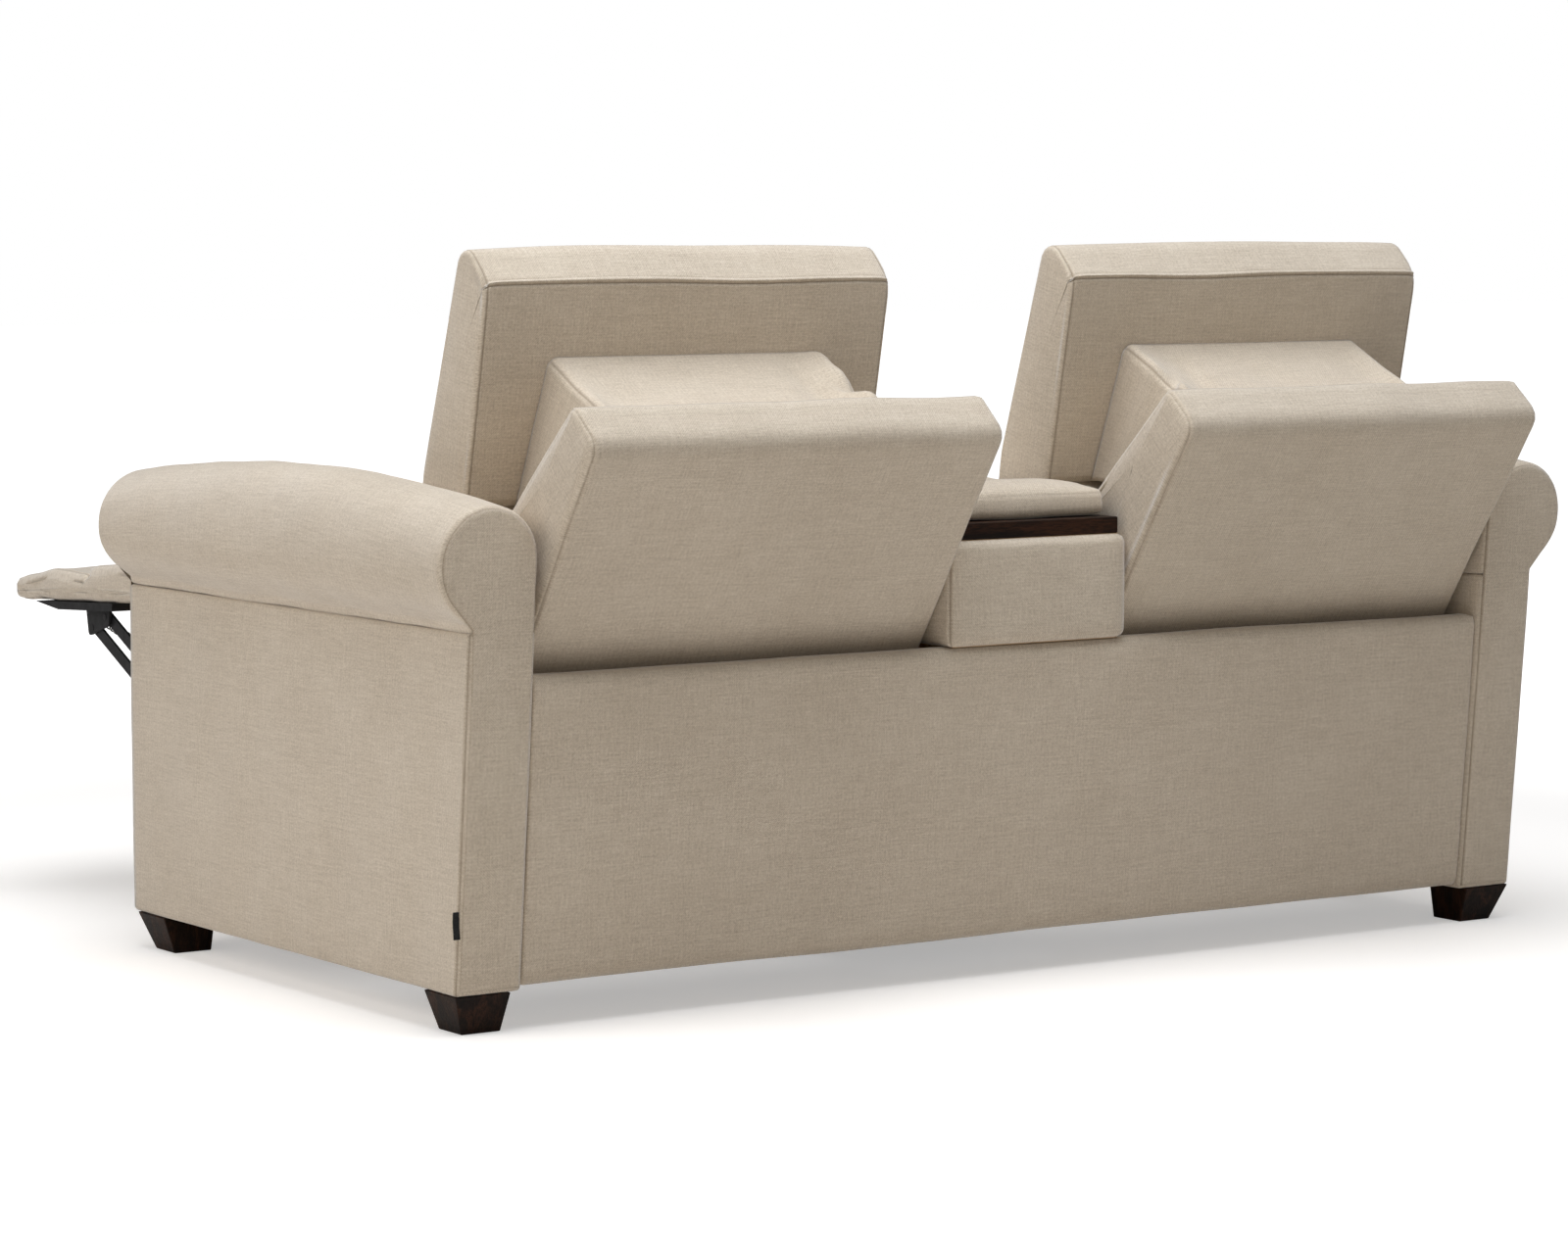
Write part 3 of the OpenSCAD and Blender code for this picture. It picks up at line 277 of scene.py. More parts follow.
SEAM_W, SEAM_D = 0.0013, 0.0015
RIM_SHARE, RIM_AT = 0.25, 2.6       # the rise beside a seam: a share of its depth, and its place in widths
GROOVE_TURN_SHARE = 0.7             # how far an end seam's groove turns from inward to along X
CAP_SHARES = [*np.linspace(1, 0, 9)[:-1], 0.015]    # where a cap's rings lie between its edge and its core
CAP_REACH = 0.05                    # taken as the distance from a cap's edge to its core


def groove(distance):
    """A seam: a narrow valley with the cloth a little raised at both sides of it."""
    d = distance / SEAM_W
    return SEAM_D * np.exp(-d * d) - SEAM_D * RIM_SHARE * np.exp(-((np.abs(d) - RIM_AT) ** 2) / 2.0)


def seam_line(distance):
    """How much of a seam's thread and shadow shows at a distance from it."""
    return hump(distance, 0, SEAM_W)


def make_form(name, outline, x0, x1, edge=0.012, drop=0.0, bulge=0.004, pitch=0.011, core=None, end_seam=0.5,
              end_dark=1.0, line_seams=(), strengths=None, extra=(), seed=1, ripple=0.0006, ripple_size=0.09,
              shape=None, frame_matrix=None):
    """A padded piece along X. Its outline runs in (y, z). Its ends are rounded by edge and sewn along a
    seam at share end_seam of that rounding. line_seams are places along the outline that carry a seam.
    shape can change the points."""
    width = x1 - x0
    half = width / 2
    s = fine_steps(0, outline.length, pitch, line_seams)[:-1]
    pts = outline.at(s)
    inner = normals_2d(pts)
    m = len(s)
    core = pts.mean(0) if core is None else np.array(core)
    # The path across the rings: cap, round corner, side, round corner, cap. Each ring has its place along X,
    # how far in it lies, its share of the way to the cap's core, and its distance from the end seam.
    seam_at = edge * math.pi / 2 * end_seam
    end = [(0.0, edge, share, seam_at + share * CAP_REACH) for share in CAP_SHARES]
    for v in fine_steps(0, edge * math.pi / 2, pitch / 2, [seam_at]):
        a = v / edge
        end.append((edge - edge * math.cos(a), edge - edge * math.sin(a), 0.0, abs(v - seam_at)))
    side = list(fine_steps(0, width - edge * 2, pitch, []))
    side = np.unique(side + [v for e in extra for v in (e, width - edge * 2 - e)])
    rings = end + [(edge + v, 0.0, 0.0, 1.0) for v in side[1:]]
    rings += [(width - x, *rest) for x, *rest in end[-2::-1]]
    # dark holds each point's seam darkening: the thread's colour and painted shade in the groove
    verts, dark = [], []
    for x, inset, share, seam in rings:
        t = (x - half) / half
        sign = 1 if x > half else -1
        turned = 1.0 if share > 0 else min(1.0, inset / edge)
        depth = groove(seam)
        p = pts + inner * (inset + drop * t * t)
        p = p + (core - p) * share
        p = p + inner * depth * (1 - turned * GROOVE_TURN_SHARE)
        out = bulge * (1 - (1 - share) ** 2) * sign
        verts.append(np.column_stack([np.full(m, x0 + x + out - sign * depth * turned), p]))
        dark.append(np.full(m, seam_line(seam) * end_dark))
    verts, dark = np.array(verts), np.array(dark)
    sides = [k for k, ring in enumerate(rings) if ring[2] == 0]
    for place, strength in zip(line_seams, strengths or [1.0] * len(line_seams)):
        d = outline.distance(s, place)
        verts[sides, :, 1:] += inner * groove(d)[:, None] * strength
        dark[sides] = np.maximum(dark[sides], seam_line(d) * strength)
    along = np.array([ring[0] for ring in rings])
    if shape is not None:
        verts = shape(verts, s, along)
    flat = verts.reshape(-1, 3)
    w = waves(flat, seed, ripple_size) * ripple
    cap = np.repeat([ring[2] > 0 for ring in rings], m)
    flat[:, 1:] -= np.tile(inner, (len(rings), 1)) * (w * ~cap)[:, None]
    flat[:, 0] += w * cap * np.where(flat[:, 0] > (x0 + x1) / 2, 1, -1)
    lengths = np.append(s, outline.length)

    def weave_at(k, ring, point, vertex):
        in_cap = rings[k][2] > 0 or rings[k + 1][2] > 0
        return vertex[1:] if in_cap else (along[ring], lengths[point])

    return skin(name, flat, m, weave_at, dark, frame_matrix=frame_matrix)


# Frames of the moving parts, as matrices that take their own (x, y, z) to the sofa's

BACK = Matrix.Translation((0, HINGE[0], HINGE[1])) @ Matrix.Rotation(-BACK_SLOPE, 4, "X")
HEAD = BACK @ Matrix.Translation((0, -HEAD_FORE, HEAD_UP)) @ Matrix.Rotation(HEAD_TILT, 4, "X")
DRIVE = np.array([FOLD_Y, FOLD_Z]) + polar(*DRIVE_LINK)
PIVOT = DRIVE + polar(*CARRY_LINK)
FOOT = (Matrix.Translation((0, PIVOT[0], PIVOT[1])) @ Matrix.Rotation(FOOT_TILT, 4, "X")
        @ Matrix.Translation(FOOT_PAD_AT))


# Materials

class Nodes:
    """A small helper that builds the node tree of one material or world."""

    def __init__(self, name, kind="materials", shader="Principled BSDF"):
        self.owner = getattr(bpy.data, kind).new(name)
        self.owner.use_nodes = True
        self.tree = self.owner.node_tree
        self.shader = self.tree.nodes[shader]

    def feed(self, socket, v):
        """Sets an input to a value, or links it to an output given as (node, name)."""
        if isinstance(v, tuple) and len(v) == 2:
            self.tree.links.new(v[0].outputs[v[1]], socket)
        else:
            socket.default_value = (*v, 1) if socket.type == "RGBA" else v

    def add(self, kind, **values):
        """A node with its inputs and settings, with an underline for each space in an input's name."""
        node = self.tree.nodes.new("ShaderNode" + kind)
        for key, value in values.items():
            socket = node.inputs.get(key.replace("_", " "))
            if socket is None:
                setattr(node, key, value)
            else:
                self.feed(socket, value)
        return node

    def texture(self, kind, source, out="Vector", **values):
        """A texture or mapping that takes its place from source."""
        return self.add(kind, **values, Vector=(source, out))

    def surface(self, **values):
        """Feeds the shader's own inputs."""
        for key, value in values.items():
            self.feed(self.shader.inputs[key.replace("_", " ")], value)

    def math(self, operation, *values):
        node = self.add("Math", operation=operation)
        for i, v in enumerate(values):
            self.feed(node.inputs[i], v)
        return node

    def ramp(self, source, out, stops):
        node = self.add("ValToRGB", Fac=(source, out))
        while len(node.color_ramp.elements) < len(stops):
            node.color_ramp.elements.new(0.5)
        for e, (place, colour) in zip(node.color_ramp.elements, stops):
            e.position = place
            e.color = (*colour, 1)
        return node

    def mix(self, fac, a, b, mode="MIX"):
        node = self.add("Mix", data_type="RGBA", blend_type=mode)
        for name, v in (("Factor", fac), ("A", a), ("B", b)):
            self.feed([i for i in node.inputs if i.name == name and i.enabled][0], v)
        return node

    def bump(self, height, out, strength, distance, under=None):
        """Gives the shader a bump, over the one under it."""
        node = self.add("Bump", Strength=strength, Distance=distance, Height=(height, out))
        if under is not None:
            self.feed(node.inputs["Normal"], (under, "Normal"))
        self.surface(Normal=(node, "Normal"))
        return node


LINEN_TONES = [(0.33, (0.445, 0.365, 0.275)), (0.50, (0.60, 0.508, 0.395)), (0.68, (0.74, 0.65, 0.53))]
# The seams' colour, partly their thread and partly painted shade in their grooves, and how much of it a seam
# takes
SEAM_SHADE, SEAM_SHADE_SHARE = (0.20, 0.145, 0.095), 0.62
YARN_BUMP, PORE_BUMP, GRAIN_BUMP, METAL_BUMP = 0.0005, 0.0004, 0.0006, 0.0002


def linen(name):
    """Oatmeal linen twill: a fine diagonal, uneven warp and weft yarns, darker flecks, and seam lines
    darkened with thread colour and painted shade.
    """
    n = Nodes(name)
    co = n.add("Attribute", attribute_name="weave")
    yarns = []
    for scale, w in (((620, 38, 1), 0.0), ((30, 620, 1), 7.3)):
        yarn = n.texture("Mapping", co, Scale=scale)
        yarns.append(n.texture("TexNoise", yarn, noise_dimensions="4D", W=w, Scale=1.0, Detail=3.0,
                               Roughness=0.55))
    both = n.mix(0.5, (yarns[0], "Color"), (yarns[1], "Color"))
    flecks = n.texture("TexNoise", co, Scale=330.0, Detail=2.0, Roughness=0.7)
    soft = n.texture("TexNoise", co, Scale=7.0, Detail=2.0)
    twill = n.texture("TexWave", co, wave_type="BANDS", bands_direction="DIAGONAL", Scale=185.0,
                      Distortion=1.6, Detail=1.0, Detail_Scale=3.0)
    level = n.math("MULTIPLY_ADD", (both, "Result"), 0.80, 0.10)
    for source, share in ((flecks, 0.50), (soft, 0.10), (twill, 0.10)):
        level = n.math("MULTIPLY_ADD", (source, "Fac"), share, (level, "Value"))
    level = n.math("SUBTRACT", (level, "Value"), 0.35)
    cloth = n.ramp(level, "Value", LINEN_TONES)
    # Painted shade along the seams: the seam attribute draws the cloth's colour towards the seams'
    # thread-and-shade colour
    seam = n.add("Attribute", attribute_name="seam")
    shade = n.math("MULTIPLY", (seam, "Fac"), SEAM_SHADE_SHARE)
    colour = n.mix((shade, "Value"), (cloth, "Color"), SEAM_SHADE)
    n.surface(Base_Color=(colour, "Result"), Roughness=0.92, Specular_IOR_Level=0.2, Sheen_Weight=0.62,
              Sheen_Roughness=0.45)
    thread = n.bump(both, "Result", 0.4, YARN_BUMP)
    n.bump(twill, "Fac", 0.35, YARN_BUMP, thread)
    return n.owner


def walnut(name="walnut", along=(1.6, 14, 14)):
    """Dark walnut: long wavering grain, darker pores, a satin lacquer."""
    n = Nodes(name)
    co = n.add("TexCoord")
    place = n.texture("Mapping", co, "Object", Scale=along)
    grain = n.texture("TexNoise", place, Scale=3.2, Detail=6.0, Roughness=0.62, Distortion=0.7)
    streak = n.texture("Mapping", co, "Object", Scale=tuple(a * 9 for a in along))
    pores = n.texture("TexNoise", streak, Scale=4.0, Detail=3.0, Roughness=0.7)
    colour = n.ramp(grain, "Fac", [
        (0.34, (0.0055, 0.0026, 0.0016)),
        (0.48, (0.016, 0.0068, 0.0035)),
        (0.60, (0.044, 0.0160, 0.0068)),
        (0.70, (0.012, 0.0054, 0.0028)),
    ])
    dark = n.ramp(pores, "Fac", [(0.40, (0.45,) * 3), (0.56, (1,) * 3)])
    mixed = n.mix(1.0, (colour, "Color"), (dark, "Color"), "MULTIPLY")
    rough = n.ramp(pores, "Fac", [(0.3, (0.55,) * 3), (0.7, (0.38,) * 3)])
    n.surface(Base_Color=(mixed, "Result"), Roughness=(rough, "Color"), Specular_IOR_Level=0.15,
              Coat_Weight=0.03, Coat_Roughness=0.25)
    n.bump(pores, "Fac", 0.25, PORE_BUMP)
    return n.owner


def timber(name="timber", along=(2, 20, 20)):
    """Bare softwood of the frame, with its grain along X."""
    n = Nodes(name)
    place = n.texture("Mapping", n.add("TexCoord"), "Object", Scale=along)
    grain = n.texture("TexNoise", place, Scale=3.0, Detail=5.0, Roughness=0.6, Distortion=0.4)
    colour = n.ramp(grain, "Fac", [(0.35, (0.36, 0.22, 0.11)), (0.6, (0.56, 0.38, 0.21))])
    n.surface(Base_Color=(colour, "Color"), Roughness=0.7)
    n.bump(grain, "Fac", 0.2, GRAIN_BUMP)
    return n.owner


def metal(name, colour, rough, metallic, wear=0.25, scale=60.0):
    """A painted or bare metal with slight variation in tone, gloss and surface."""
    n = Nodes(name)
    co = n.add("TexCoord")
    noise = n.texture("TexNoise", co, "Object", Scale=scale, Detail=5.0, Roughness=0.6)
    tone = n.ramp(noise, "Fac", [(0.35, tuple(c * (1 - wear) for c in colour)), (0.62, colour)])
    gloss = n.ramp(noise, "Fac", [(0.3, (rough * 1.3,) * 3), (0.7, (rough * 0.8,) * 3)])
    n.surface(Base_Color=(tone, "Color"), Roughness=(gloss, "Color"), Metallic=metallic)
    fine = n.texture("TexNoise", co, "Object", Scale=scale * 14, Detail=2.0)
    n.bump(fine, "Fac", 0.15, METAL_BUMP)
    return n.owner


M_LINEN = linen("linen")
M_SLEEVE = linen("linen_sleeve")
M_WALNUT = walnut()
M_WALNUT_FEET = walnut("walnut_feet", (14, 14, 3))
M_TIMBER = timber()
M_ZINC = metal("zinc_wire", (0.42, 0.42, 0.41), 0.35, 0.9)
M_RIBBON = metal("black_ribbon", (0.010, 0.010, 0.011), 0.85, 0.0, 0.3, 900.0)
CAD_LOOKS = {
    "steel": metal("graphite_steel", (0.035, 0.035, 0.037), 0.42, 0.6),
    "cup_metal": metal("brushed_cup", (0.55, 0.55, 0.54), 0.3, 1.0, 0.12),
    "board_black": metal("black_board", (0.012, 0.012, 0.013), 0.62, 0.0, 0.3, 25.0),
    "dark_plastic": metal("dark_plastic", (0.02, 0.02, 0.021), 0.5, 0.0, 0.2, 200.0),
    "timber": M_TIMBER, "button_metal": M_ZINC, "walnut": M_WALNUT, "zinc": M_ZINC,
}


def coat(ob, mat):
    ob.data.materials.clear()
    ob.data.materials.append(mat)


def dress(ob, mat, slot):
    coat(ob, mat)


def place(ob, body, slot, mat, *nodes, fill=None):
    """Gives a piece its material and the body that it rides on, and hides the CAD nodes that it stands for.
    """
    dress(ob, mat, slot)
    if nodes:
        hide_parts(*nodes)
    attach(ob, body)


def cloth(ob, body, *nodes, fill):
    place(ob, body, "fabric", M_LINEN, *nodes, fill=fill)


# Camera: the photograph's viewpoint, solved from the sofa's square edges

CAMERA_AT = (3.7736, 5.6432, 1.0249)
CAMERA_AZIMUTH, CAMERA_ELEVATION = 145.77, 5.133
CAMERA_LENS = 108.925


def make_camera():
    data = bpy.data.cameras.new("camera")
    data.sensor_width = 36.0
    data.lens = CAMERA_LENS
    data.clip_end = 60.0
    cam = link_object("camera", data)
    cam.location = CAMERA_AT
    cam.rotation_euler = Euler((math.radians(90 - CAMERA_ELEVATION), 0, math.radians(CAMERA_AZIMUTH)))
    bpy.context.scene.camera = cam


# Arms

ROLL_RX, ROLL_RZ, ROLL_RISE, ROLL_CROWN, ROLL_PEAK = 0.070, 0.073, 0.083, 0.030, 0.400
SEAM_Z = 0.502
ARM_X0, ARM_X1, ARM_DEPTH = 0.776, 0.870, 0.882
ROLL_MID = np.array([ARM_X0 + ROLL_RX, SEAM_Z + ROLL_RISE])
NECK = [(0.094, 0.010), (0.0925, 0.0)]      # where the roll runs down into the panel
ROLL_GIRTH = 0.52                           # of cloth round the roll


def roll_outline(top):
    """The roll's section in (x, z): flat inner face, then an ellipse down to the neck."""
    pts = [(0, 0.0)]
    for a in np.radians(np.linspace(180, -55, 41)):
        rise = ROLL_RZ + (top if a > 0 else 0)
        pts.append((ROLL_RX + ROLL_RX * math.cos(a), ROLL_RISE + rise * math.sin(a)))
    return np.array([(ARM_X0 + x, SEAM_Z + z) for x, z in pts + NECK])


def arm_roll(name):
    """The arm's rounded top: the section swept to the rear, highest over ROLL_PEAK, with rounded ends."""
    m, edge, wave, fine_wave, pucker, pucker_z = 132, 0.007, 0.0009, 0.00025, 0.0015, 0.004
    reach_rear = lean_at(SEAM_Z + ROLL_RISE)
    length = ARM_DEPTH + reach_rear
    # Each ring's share of the length, how far in it lies, and its share of the way to the cap's core
    end = [(0.0, edge, cap) for cap in (0.45, 0.2, 0.05)]
    end += [(d, inset, 0.0) for d, inset in quarter_round(edge)]
    stations = [(d / length, inset, cap) for d, inset, cap in end]
    stations += [(edge + (1 - 2 * edge) * t, 0.0, 0.0) for t in np.linspace(0, 1, 84)[1:-1]]
    stations += [(1 - d / length, inset, cap) for d, inset, cap in reversed(end)]
    rings = []
    for t, inset, cap in stations:
        y = -ARM_DEPTH + length * t
        span = reach_rear + ROLL_PEAK if y > -ROLL_PEAK else ARM_DEPTH - ROLL_PEAK
        p = resample(roll_outline(ROLL_CROWN * (1 - ((y + ROLL_PEAK) / span) ** 2)), m)
        p = p - normals_2d(p) * inset
        p = p + (ROLL_MID - p) * cap
        from_front = (ARM_DEPTH + lean_at(p[:, 1])) * t
        rings.append(np.column_stack([p[:, 0], REAR_Y - ARM_DEPTH + from_front, p[:, 1]]))
    verts = np.array(rings).reshape(-1, 3)
    w = waves(verts, 11, 0.16) * wave + waves(verts, 12, 0.05) * fine_wave
    out = verts - np.array([ROLL_MID[0], 0, ROLL_MID[1]])
    out[:, 1] = 0
    out /= np.maximum(np.linalg.norm(out, axis=1), 1e-6)[:, None]
    verts = verts + out * w[:, None]
    # The cloth dips where it is sewn to the panel under the roll, on the outer side
    verts[:, 0] -= hump(verts[:, 2], SEAM_Z, pucker_z) * pucker * (verts[:, 0] > ARM_X1 - 0.02)
    arc = np.linspace(0, ROLL_GIRTH, m + 1)
    return skin(name, verts, m, lambda k, r, p, v: (v[1], arc[p]), flat_ends=[0, 2], turned=True)


def swept_panel(name, rect, z0, z1, r, bulge, ripple=0.0006, edge=0.006, leans=True):
    """An upholstered board that stands up: a rounded rectangle in (x, y), sewn along one rear corner."""
    x0, y0, x1, y1 = rect
    pitch, side_share = 0.012, 0.96
    outline = Outline(rectangle(*rect), r)
    sewn = outline.corner_s(2)
    s = fine_steps(0, outline.length, pitch, [sewn])[:-1]
    pts = outline.at(s)
    inner = normals_2d(pts)
    from_seam = outline.distance(s, sewn)
    m = len(s)
    heights = [(z0 + d, inset) for d, inset in quarter_round(edge)]
    heights += [(z, 0.0) for z in np.linspace(z0 + edge, z1 - edge, int((z1 - z0) / pitch))[1:-1]]
    heights += [(z1 - d, inset) for d, inset in reversed(quarter_round(edge))]
    mid, half = np.array([x0 + x1, y0 + y1]) / 2, np.array([x1 - x0, y1 - y0]) / 2
    rings = []
    for z, inset in heights:
        p = pts + inner * inset
        puff = bulge * math.sin(math.pi * min(max((z - z0) / (z1 - z0), 0), 1)) ** 0.5
        u = (p - mid) / half
        on_x, on_y = np.abs(u[:, 0]) > side_share, np.abs(u[:, 1]) > side_share
        out = puff * np.where(on_x, 1 - u[:, 1] ** 2, np.where(on_y, 1 - u[:, 0] ** 2, 0))
        p = p - inner * out[:, None] + inner * groove(from_seam)[:, None]
        shift = lean_at(z) * smooth((p[:, 1] - y0) / (y1 - y0)) if leans else 0.0
        rings.append(np.column_stack([p[:, 0], p[:, 1] + shift, np.full(m, z)]))
    verts = np.array(rings).reshape(-1, 3)
    w = waves(verts, 3, 0.15) * ripple
    verts[:, :2] -= np.tile(inner, (len(rings), 1)) * w[:, None]
    lengths = np.append(s, outline.length)
    return skin(name, verts, m, lambda k, r, p, v: (lengths[p], heights[r][0]),
                np.tile(seam_line(from_seam), len(rings)), flat_ends=[0, 1])


def keyhole(name, y_face, sign):
    """The flat cloth panel on an arm's end: the roll's section joined to the panel below, in one piece."""
    gap, seam_reach, foot_gap, neck_rise, spine_rise = 0.0034, 0.0006, 0.001, 0.004, 0.045
    # How far in from the panel's edge each ring lies, and how far it stands out from the arm's end
    rows = [(0.0, -0.0012), (0.0008, 0.0002), (0.0018, 0.0016), (0.0032, 0.0023), (0.006, 0.0027),
            (0.012, 0.0030), (0.022, 0.0032), (0.032, 0.0033)]

    def border(d):
        """The panel's edge, drawn in by d."""
        arc = [ROLL_MID + np.array([(ROLL_RX - d) * math.cos(a), (ROLL_RZ - d) * math.sin(a)])
               for a in np.radians(np.linspace(180, -47, 48))]
        foot = FOOT_H + foot_gap + d
        neck = [(ARM_X1 - d, SEAM_Z + neck_rise), (ARM_X1 - d, foot), (ARM_X0 + d, foot)]
        return resample(np.vstack([arc, neck])[::-1], 340)

    rings = [(border(gap + shrink), out) for shrink, out in rows]
    # How much each ring takes of the seam's thread colour and painted shade at the panel's sewn edge
    near = [seam_line(max(0.0, shrink - seam_reach)) for shrink, _ in rows]
    last = rings[-1][0]
    m = len(last)
    # The middle is closed along a spine from the foot to the roll's centre
    spine = np.column_stack([np.full(m, (ARM_X0 + ARM_X1) / 2),
                             np.clip(last[:, 1], FOOT_H + spine_rise, ROLL_MID[1])])
    rings.append((spine, 0.0034))
    near.append(0.0)
    verts = []
    for p, out in rings:
        y = np.full(m, y_face + sign * out) + (lean_at(p[:, 1]) if sign > 0 else 0)
        verts.append(np.column_stack([p[:, 0], y, p[:, 1]]))
    verts = np.array(verts).reshape(-1, 3)
    ob = skin(name, verts, m, lambda k, r, p, v: v[[0, 2]], np.repeat(near, m))
    if (ob.data.polygons[len(ob.data.polygons) // 2].normal.y > 0) != (sign > 0):
        ob.data.flip_normals()
    return ob


def build_arms():
    front, rear = REAR_Y - ARM_DEPTH, REAR_Y
    for side, s in SIDES.items():
        roll = arm_roll("arm_roll_cover_" + side)
        panel = swept_panel("arm_panel_cover_" + side, (ARM_X0, front, ARM_X1, rear), FOOT_H, SEAM_Z,
                            r=0.006, bulge=0.004)
        ends = [keyhole("arm_rear_panel_" + side, rear, 1), keyhole("arm_front_panel_" + side, front, -1)]
        for ob in (roll, panel, *ends):
            if s < 0:
                mirror(ob)
        cloth(roll, "base", "arm_roll_" + side, fill=0.9)
        cloth(panel, "base", "arm_panel_" + side, fill=0.9)
        for ob in ends:
            cloth(ob, "base", fill=0.9)


# Rear panel and the console's fixed part

WOOD_BEVEL = 0.0022


def bevel(bm, r):
    bmesh.ops.bevel(bm, geom=bm.edges[:], offset=r, segments=3, profile=0.5, affect="EDGES")


def board_object(name, bm):
    """A hard board: flat faces, with bevels that shade into them."""
    me = bpy.data.meshes.new(name)
    bm.to_mesh(me)
    bm.free()
    shade_smooth(me)
    ob = link_object(name, me)
    ob.modifiers.new("flat_faces", "WEIGHTED_NORMAL").keep_sharp = True
    return ob


def bevelled_box(name, low, high):
    bm = bmesh.new()
    bmesh.ops.create_cube(bm, size=1)
    size, mid = high - low, (high + low) / 2
    for v in bm.verts:
        v.co = v.co * size + mid
    bevel(bm, WOOD_BEVEL)
    return board_object(name, bm)


def section(low, high):
    """A box's section in (y, z)."""
    return rectangle(low.y, low.z, high.y, high.z)


def crowned(low, high, drop, rise):
    """A box's section with its top edges dropped and its middle raised."""
    side = high.z - drop
    return section(low, high)[:2] + [(high.y, side), ((low.y + high.y) / 2, high.z + rise), (low.y, side)]


def build_rear_panel():
    low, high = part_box("rear_panel_cover")
    thick, back = 0.042, REAR_Y - 0.003
    foot, top = back + lean_at(low.z), back + lean_at(high.z)
    pts = [(foot - thick, low.z), (foot, low.z), (top, high.z), (top - thick, high.z)]
    ob = make_form("rear_panel_cloth", Outline(pts, [0.004, 0.004, 0.010, 0.010]), low.x, high.x, edge=0.007,
                   bulge=0.0, pitch=0.013, seed=21, ripple=0.0007, ripple_size=0.2, end_seam=0.3)
    cloth(ob, "base", "rear_panel_cover", fill=0.9)


def build_console_box():
    low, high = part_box("console_box_cover")
    lift, sink, cover = 0.001, 0.0005, 0.012
    ob = swept_panel("console_box_cloth", (low.x, low.y, high.x, high.y), low.z + lift, high.z - sink,
                     r=0.013, bulge=0.0035, ripple=0.0005, edge=0.012, leans=False)
    cloth(ob, "base", "console_box_cover", fill=0.9)
    board = bevelled_box("console_rear_board_wood", *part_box("console_rear_board"))
    place(board, "base", "walnut", M_WALNUT, "console_rear_board")
    console_pad("console_rear_pad", "base")
    low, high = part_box("centre_seat_pad")
    outline = Outline(section(low, high), [0.004, 0.004, 0.009, 0.009])
    pad = make_form("centre_seat_cloth", outline, low.x, high.x, edge=0.008, pitch=0.012, seed=31, bulge=0.0)
    cloth(pad, "base", "centre_seat_pad", fill=0.7)
    low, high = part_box("centre_front_panel")
    # The panel's cloth covers the joint under the seat pad's front edge
    outline = Outline(rectangle(low.y, low.z, high.y, high.z + cover), 0.004)
    front = make_form("centre_front_cloth", outline, low.x, high.x, edge=0.004, pitch=0.012, seed=32,
                      bulge=0.0)
    cloth(front, "base", "centre_front_panel", fill=0.9)


def console_pad(node, body):
    """A boxed pad with a crowned top: side walls, a seam round the top edge, and a soft dome."""
    low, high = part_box(node)
    drop, rise, corner, fall = 0.018, 0.004, 0.026, 0.013
    outline = Outline(crowned(low, high, drop, rise), [0.005, 0.005, corner, (high.y - low.y) * 0.8, corner])

    def dome(verts, s, along):
        half = (high.x - low.x) / 2
        t = np.abs(along - half) / half
        up = smooth((verts[:, :, 2] - (high.z - drop) + rise) / drop)
        verts[:, :, 2] -= (t ** 3 * fall)[:, None] * up
        return verts

    ob = make_form(node + "_cloth", outline, low.x, high.x, edge=0.017, drop=0.001, bulge=0.0012, pitch=0.009,
                   line_seams=[outline.corner_s(2), outline.corner_s(4)], strengths=[0.3, 0.3], end_dark=0.5,
                   seed=41 + len(node), shape=dome)
    cloth(ob, body, node, fill=0.8)


# Swinging part of the console

CUP_X, CUP_Y, CUP_R, CUP_DEEP = 0.062, REAR_Y - 0.545, 0.0383, 0.060


def build_console_arm():
    low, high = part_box("console_arm_body")
    outline = Outline(section(low, high), [0.022, 0.045, 0.006, 0.010])
    body = make_form("console_arm_cloth", outline, low.x, high.x, edge=0.008, bulge=0.0, pitch=0.010, seed=51,
                     line_seams=[outline.corner_s(0)])
    cut_cups(body, high.z)
    cloth(body, "console_arm", "console_arm_body", fill=0.9)
    low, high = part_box("console_tray")
    tray = bevelled_box("console_tray_wood", low, high)
    cut_cups(tray, high.z)
    place(tray, "console_arm", "walnut", M_WALNUT, "console_tray")
    console_pad("console_arm_pad", "console_arm")


def cut_cups(ob, top):
    """Cuts both cup holders' wells down from the top."""
    depth = 0.2
    for m in (-1, 1):
        bpy.ops.mesh.primitive_cylinder_add(vertices=64, radius=CUP_R, depth=depth,
                                            location=(m * CUP_X, CUP_Y, top + depth / 2 - CUP_DEEP))
        tool = bpy.context.object
        mod = ob.modifiers.new("cup", "BOOLEAN")
        mod.operation = "DIFFERENCE"
        mod.object = tool
        mod.solver = "EXACT"
        apply_modifiers(ob)
        bpy.data.objects.remove(tool, do_unlink=True)


# Seats

def both_seats(make, body, fill):
    """Builds a piece for the left seat and a mirrored one, with its own ripples, for the right. The function
    that makes it has the name of the CAD piece."""
    for i, (side, s) in enumerate(SIDES.items()):
        ob = make(make.__name__ + "_cloth_" + side, i)
        if s < 0:
            mirror(ob)
        cloth(ob, side + "_" + body, make.__name__ + "_" + side, fill=fill)


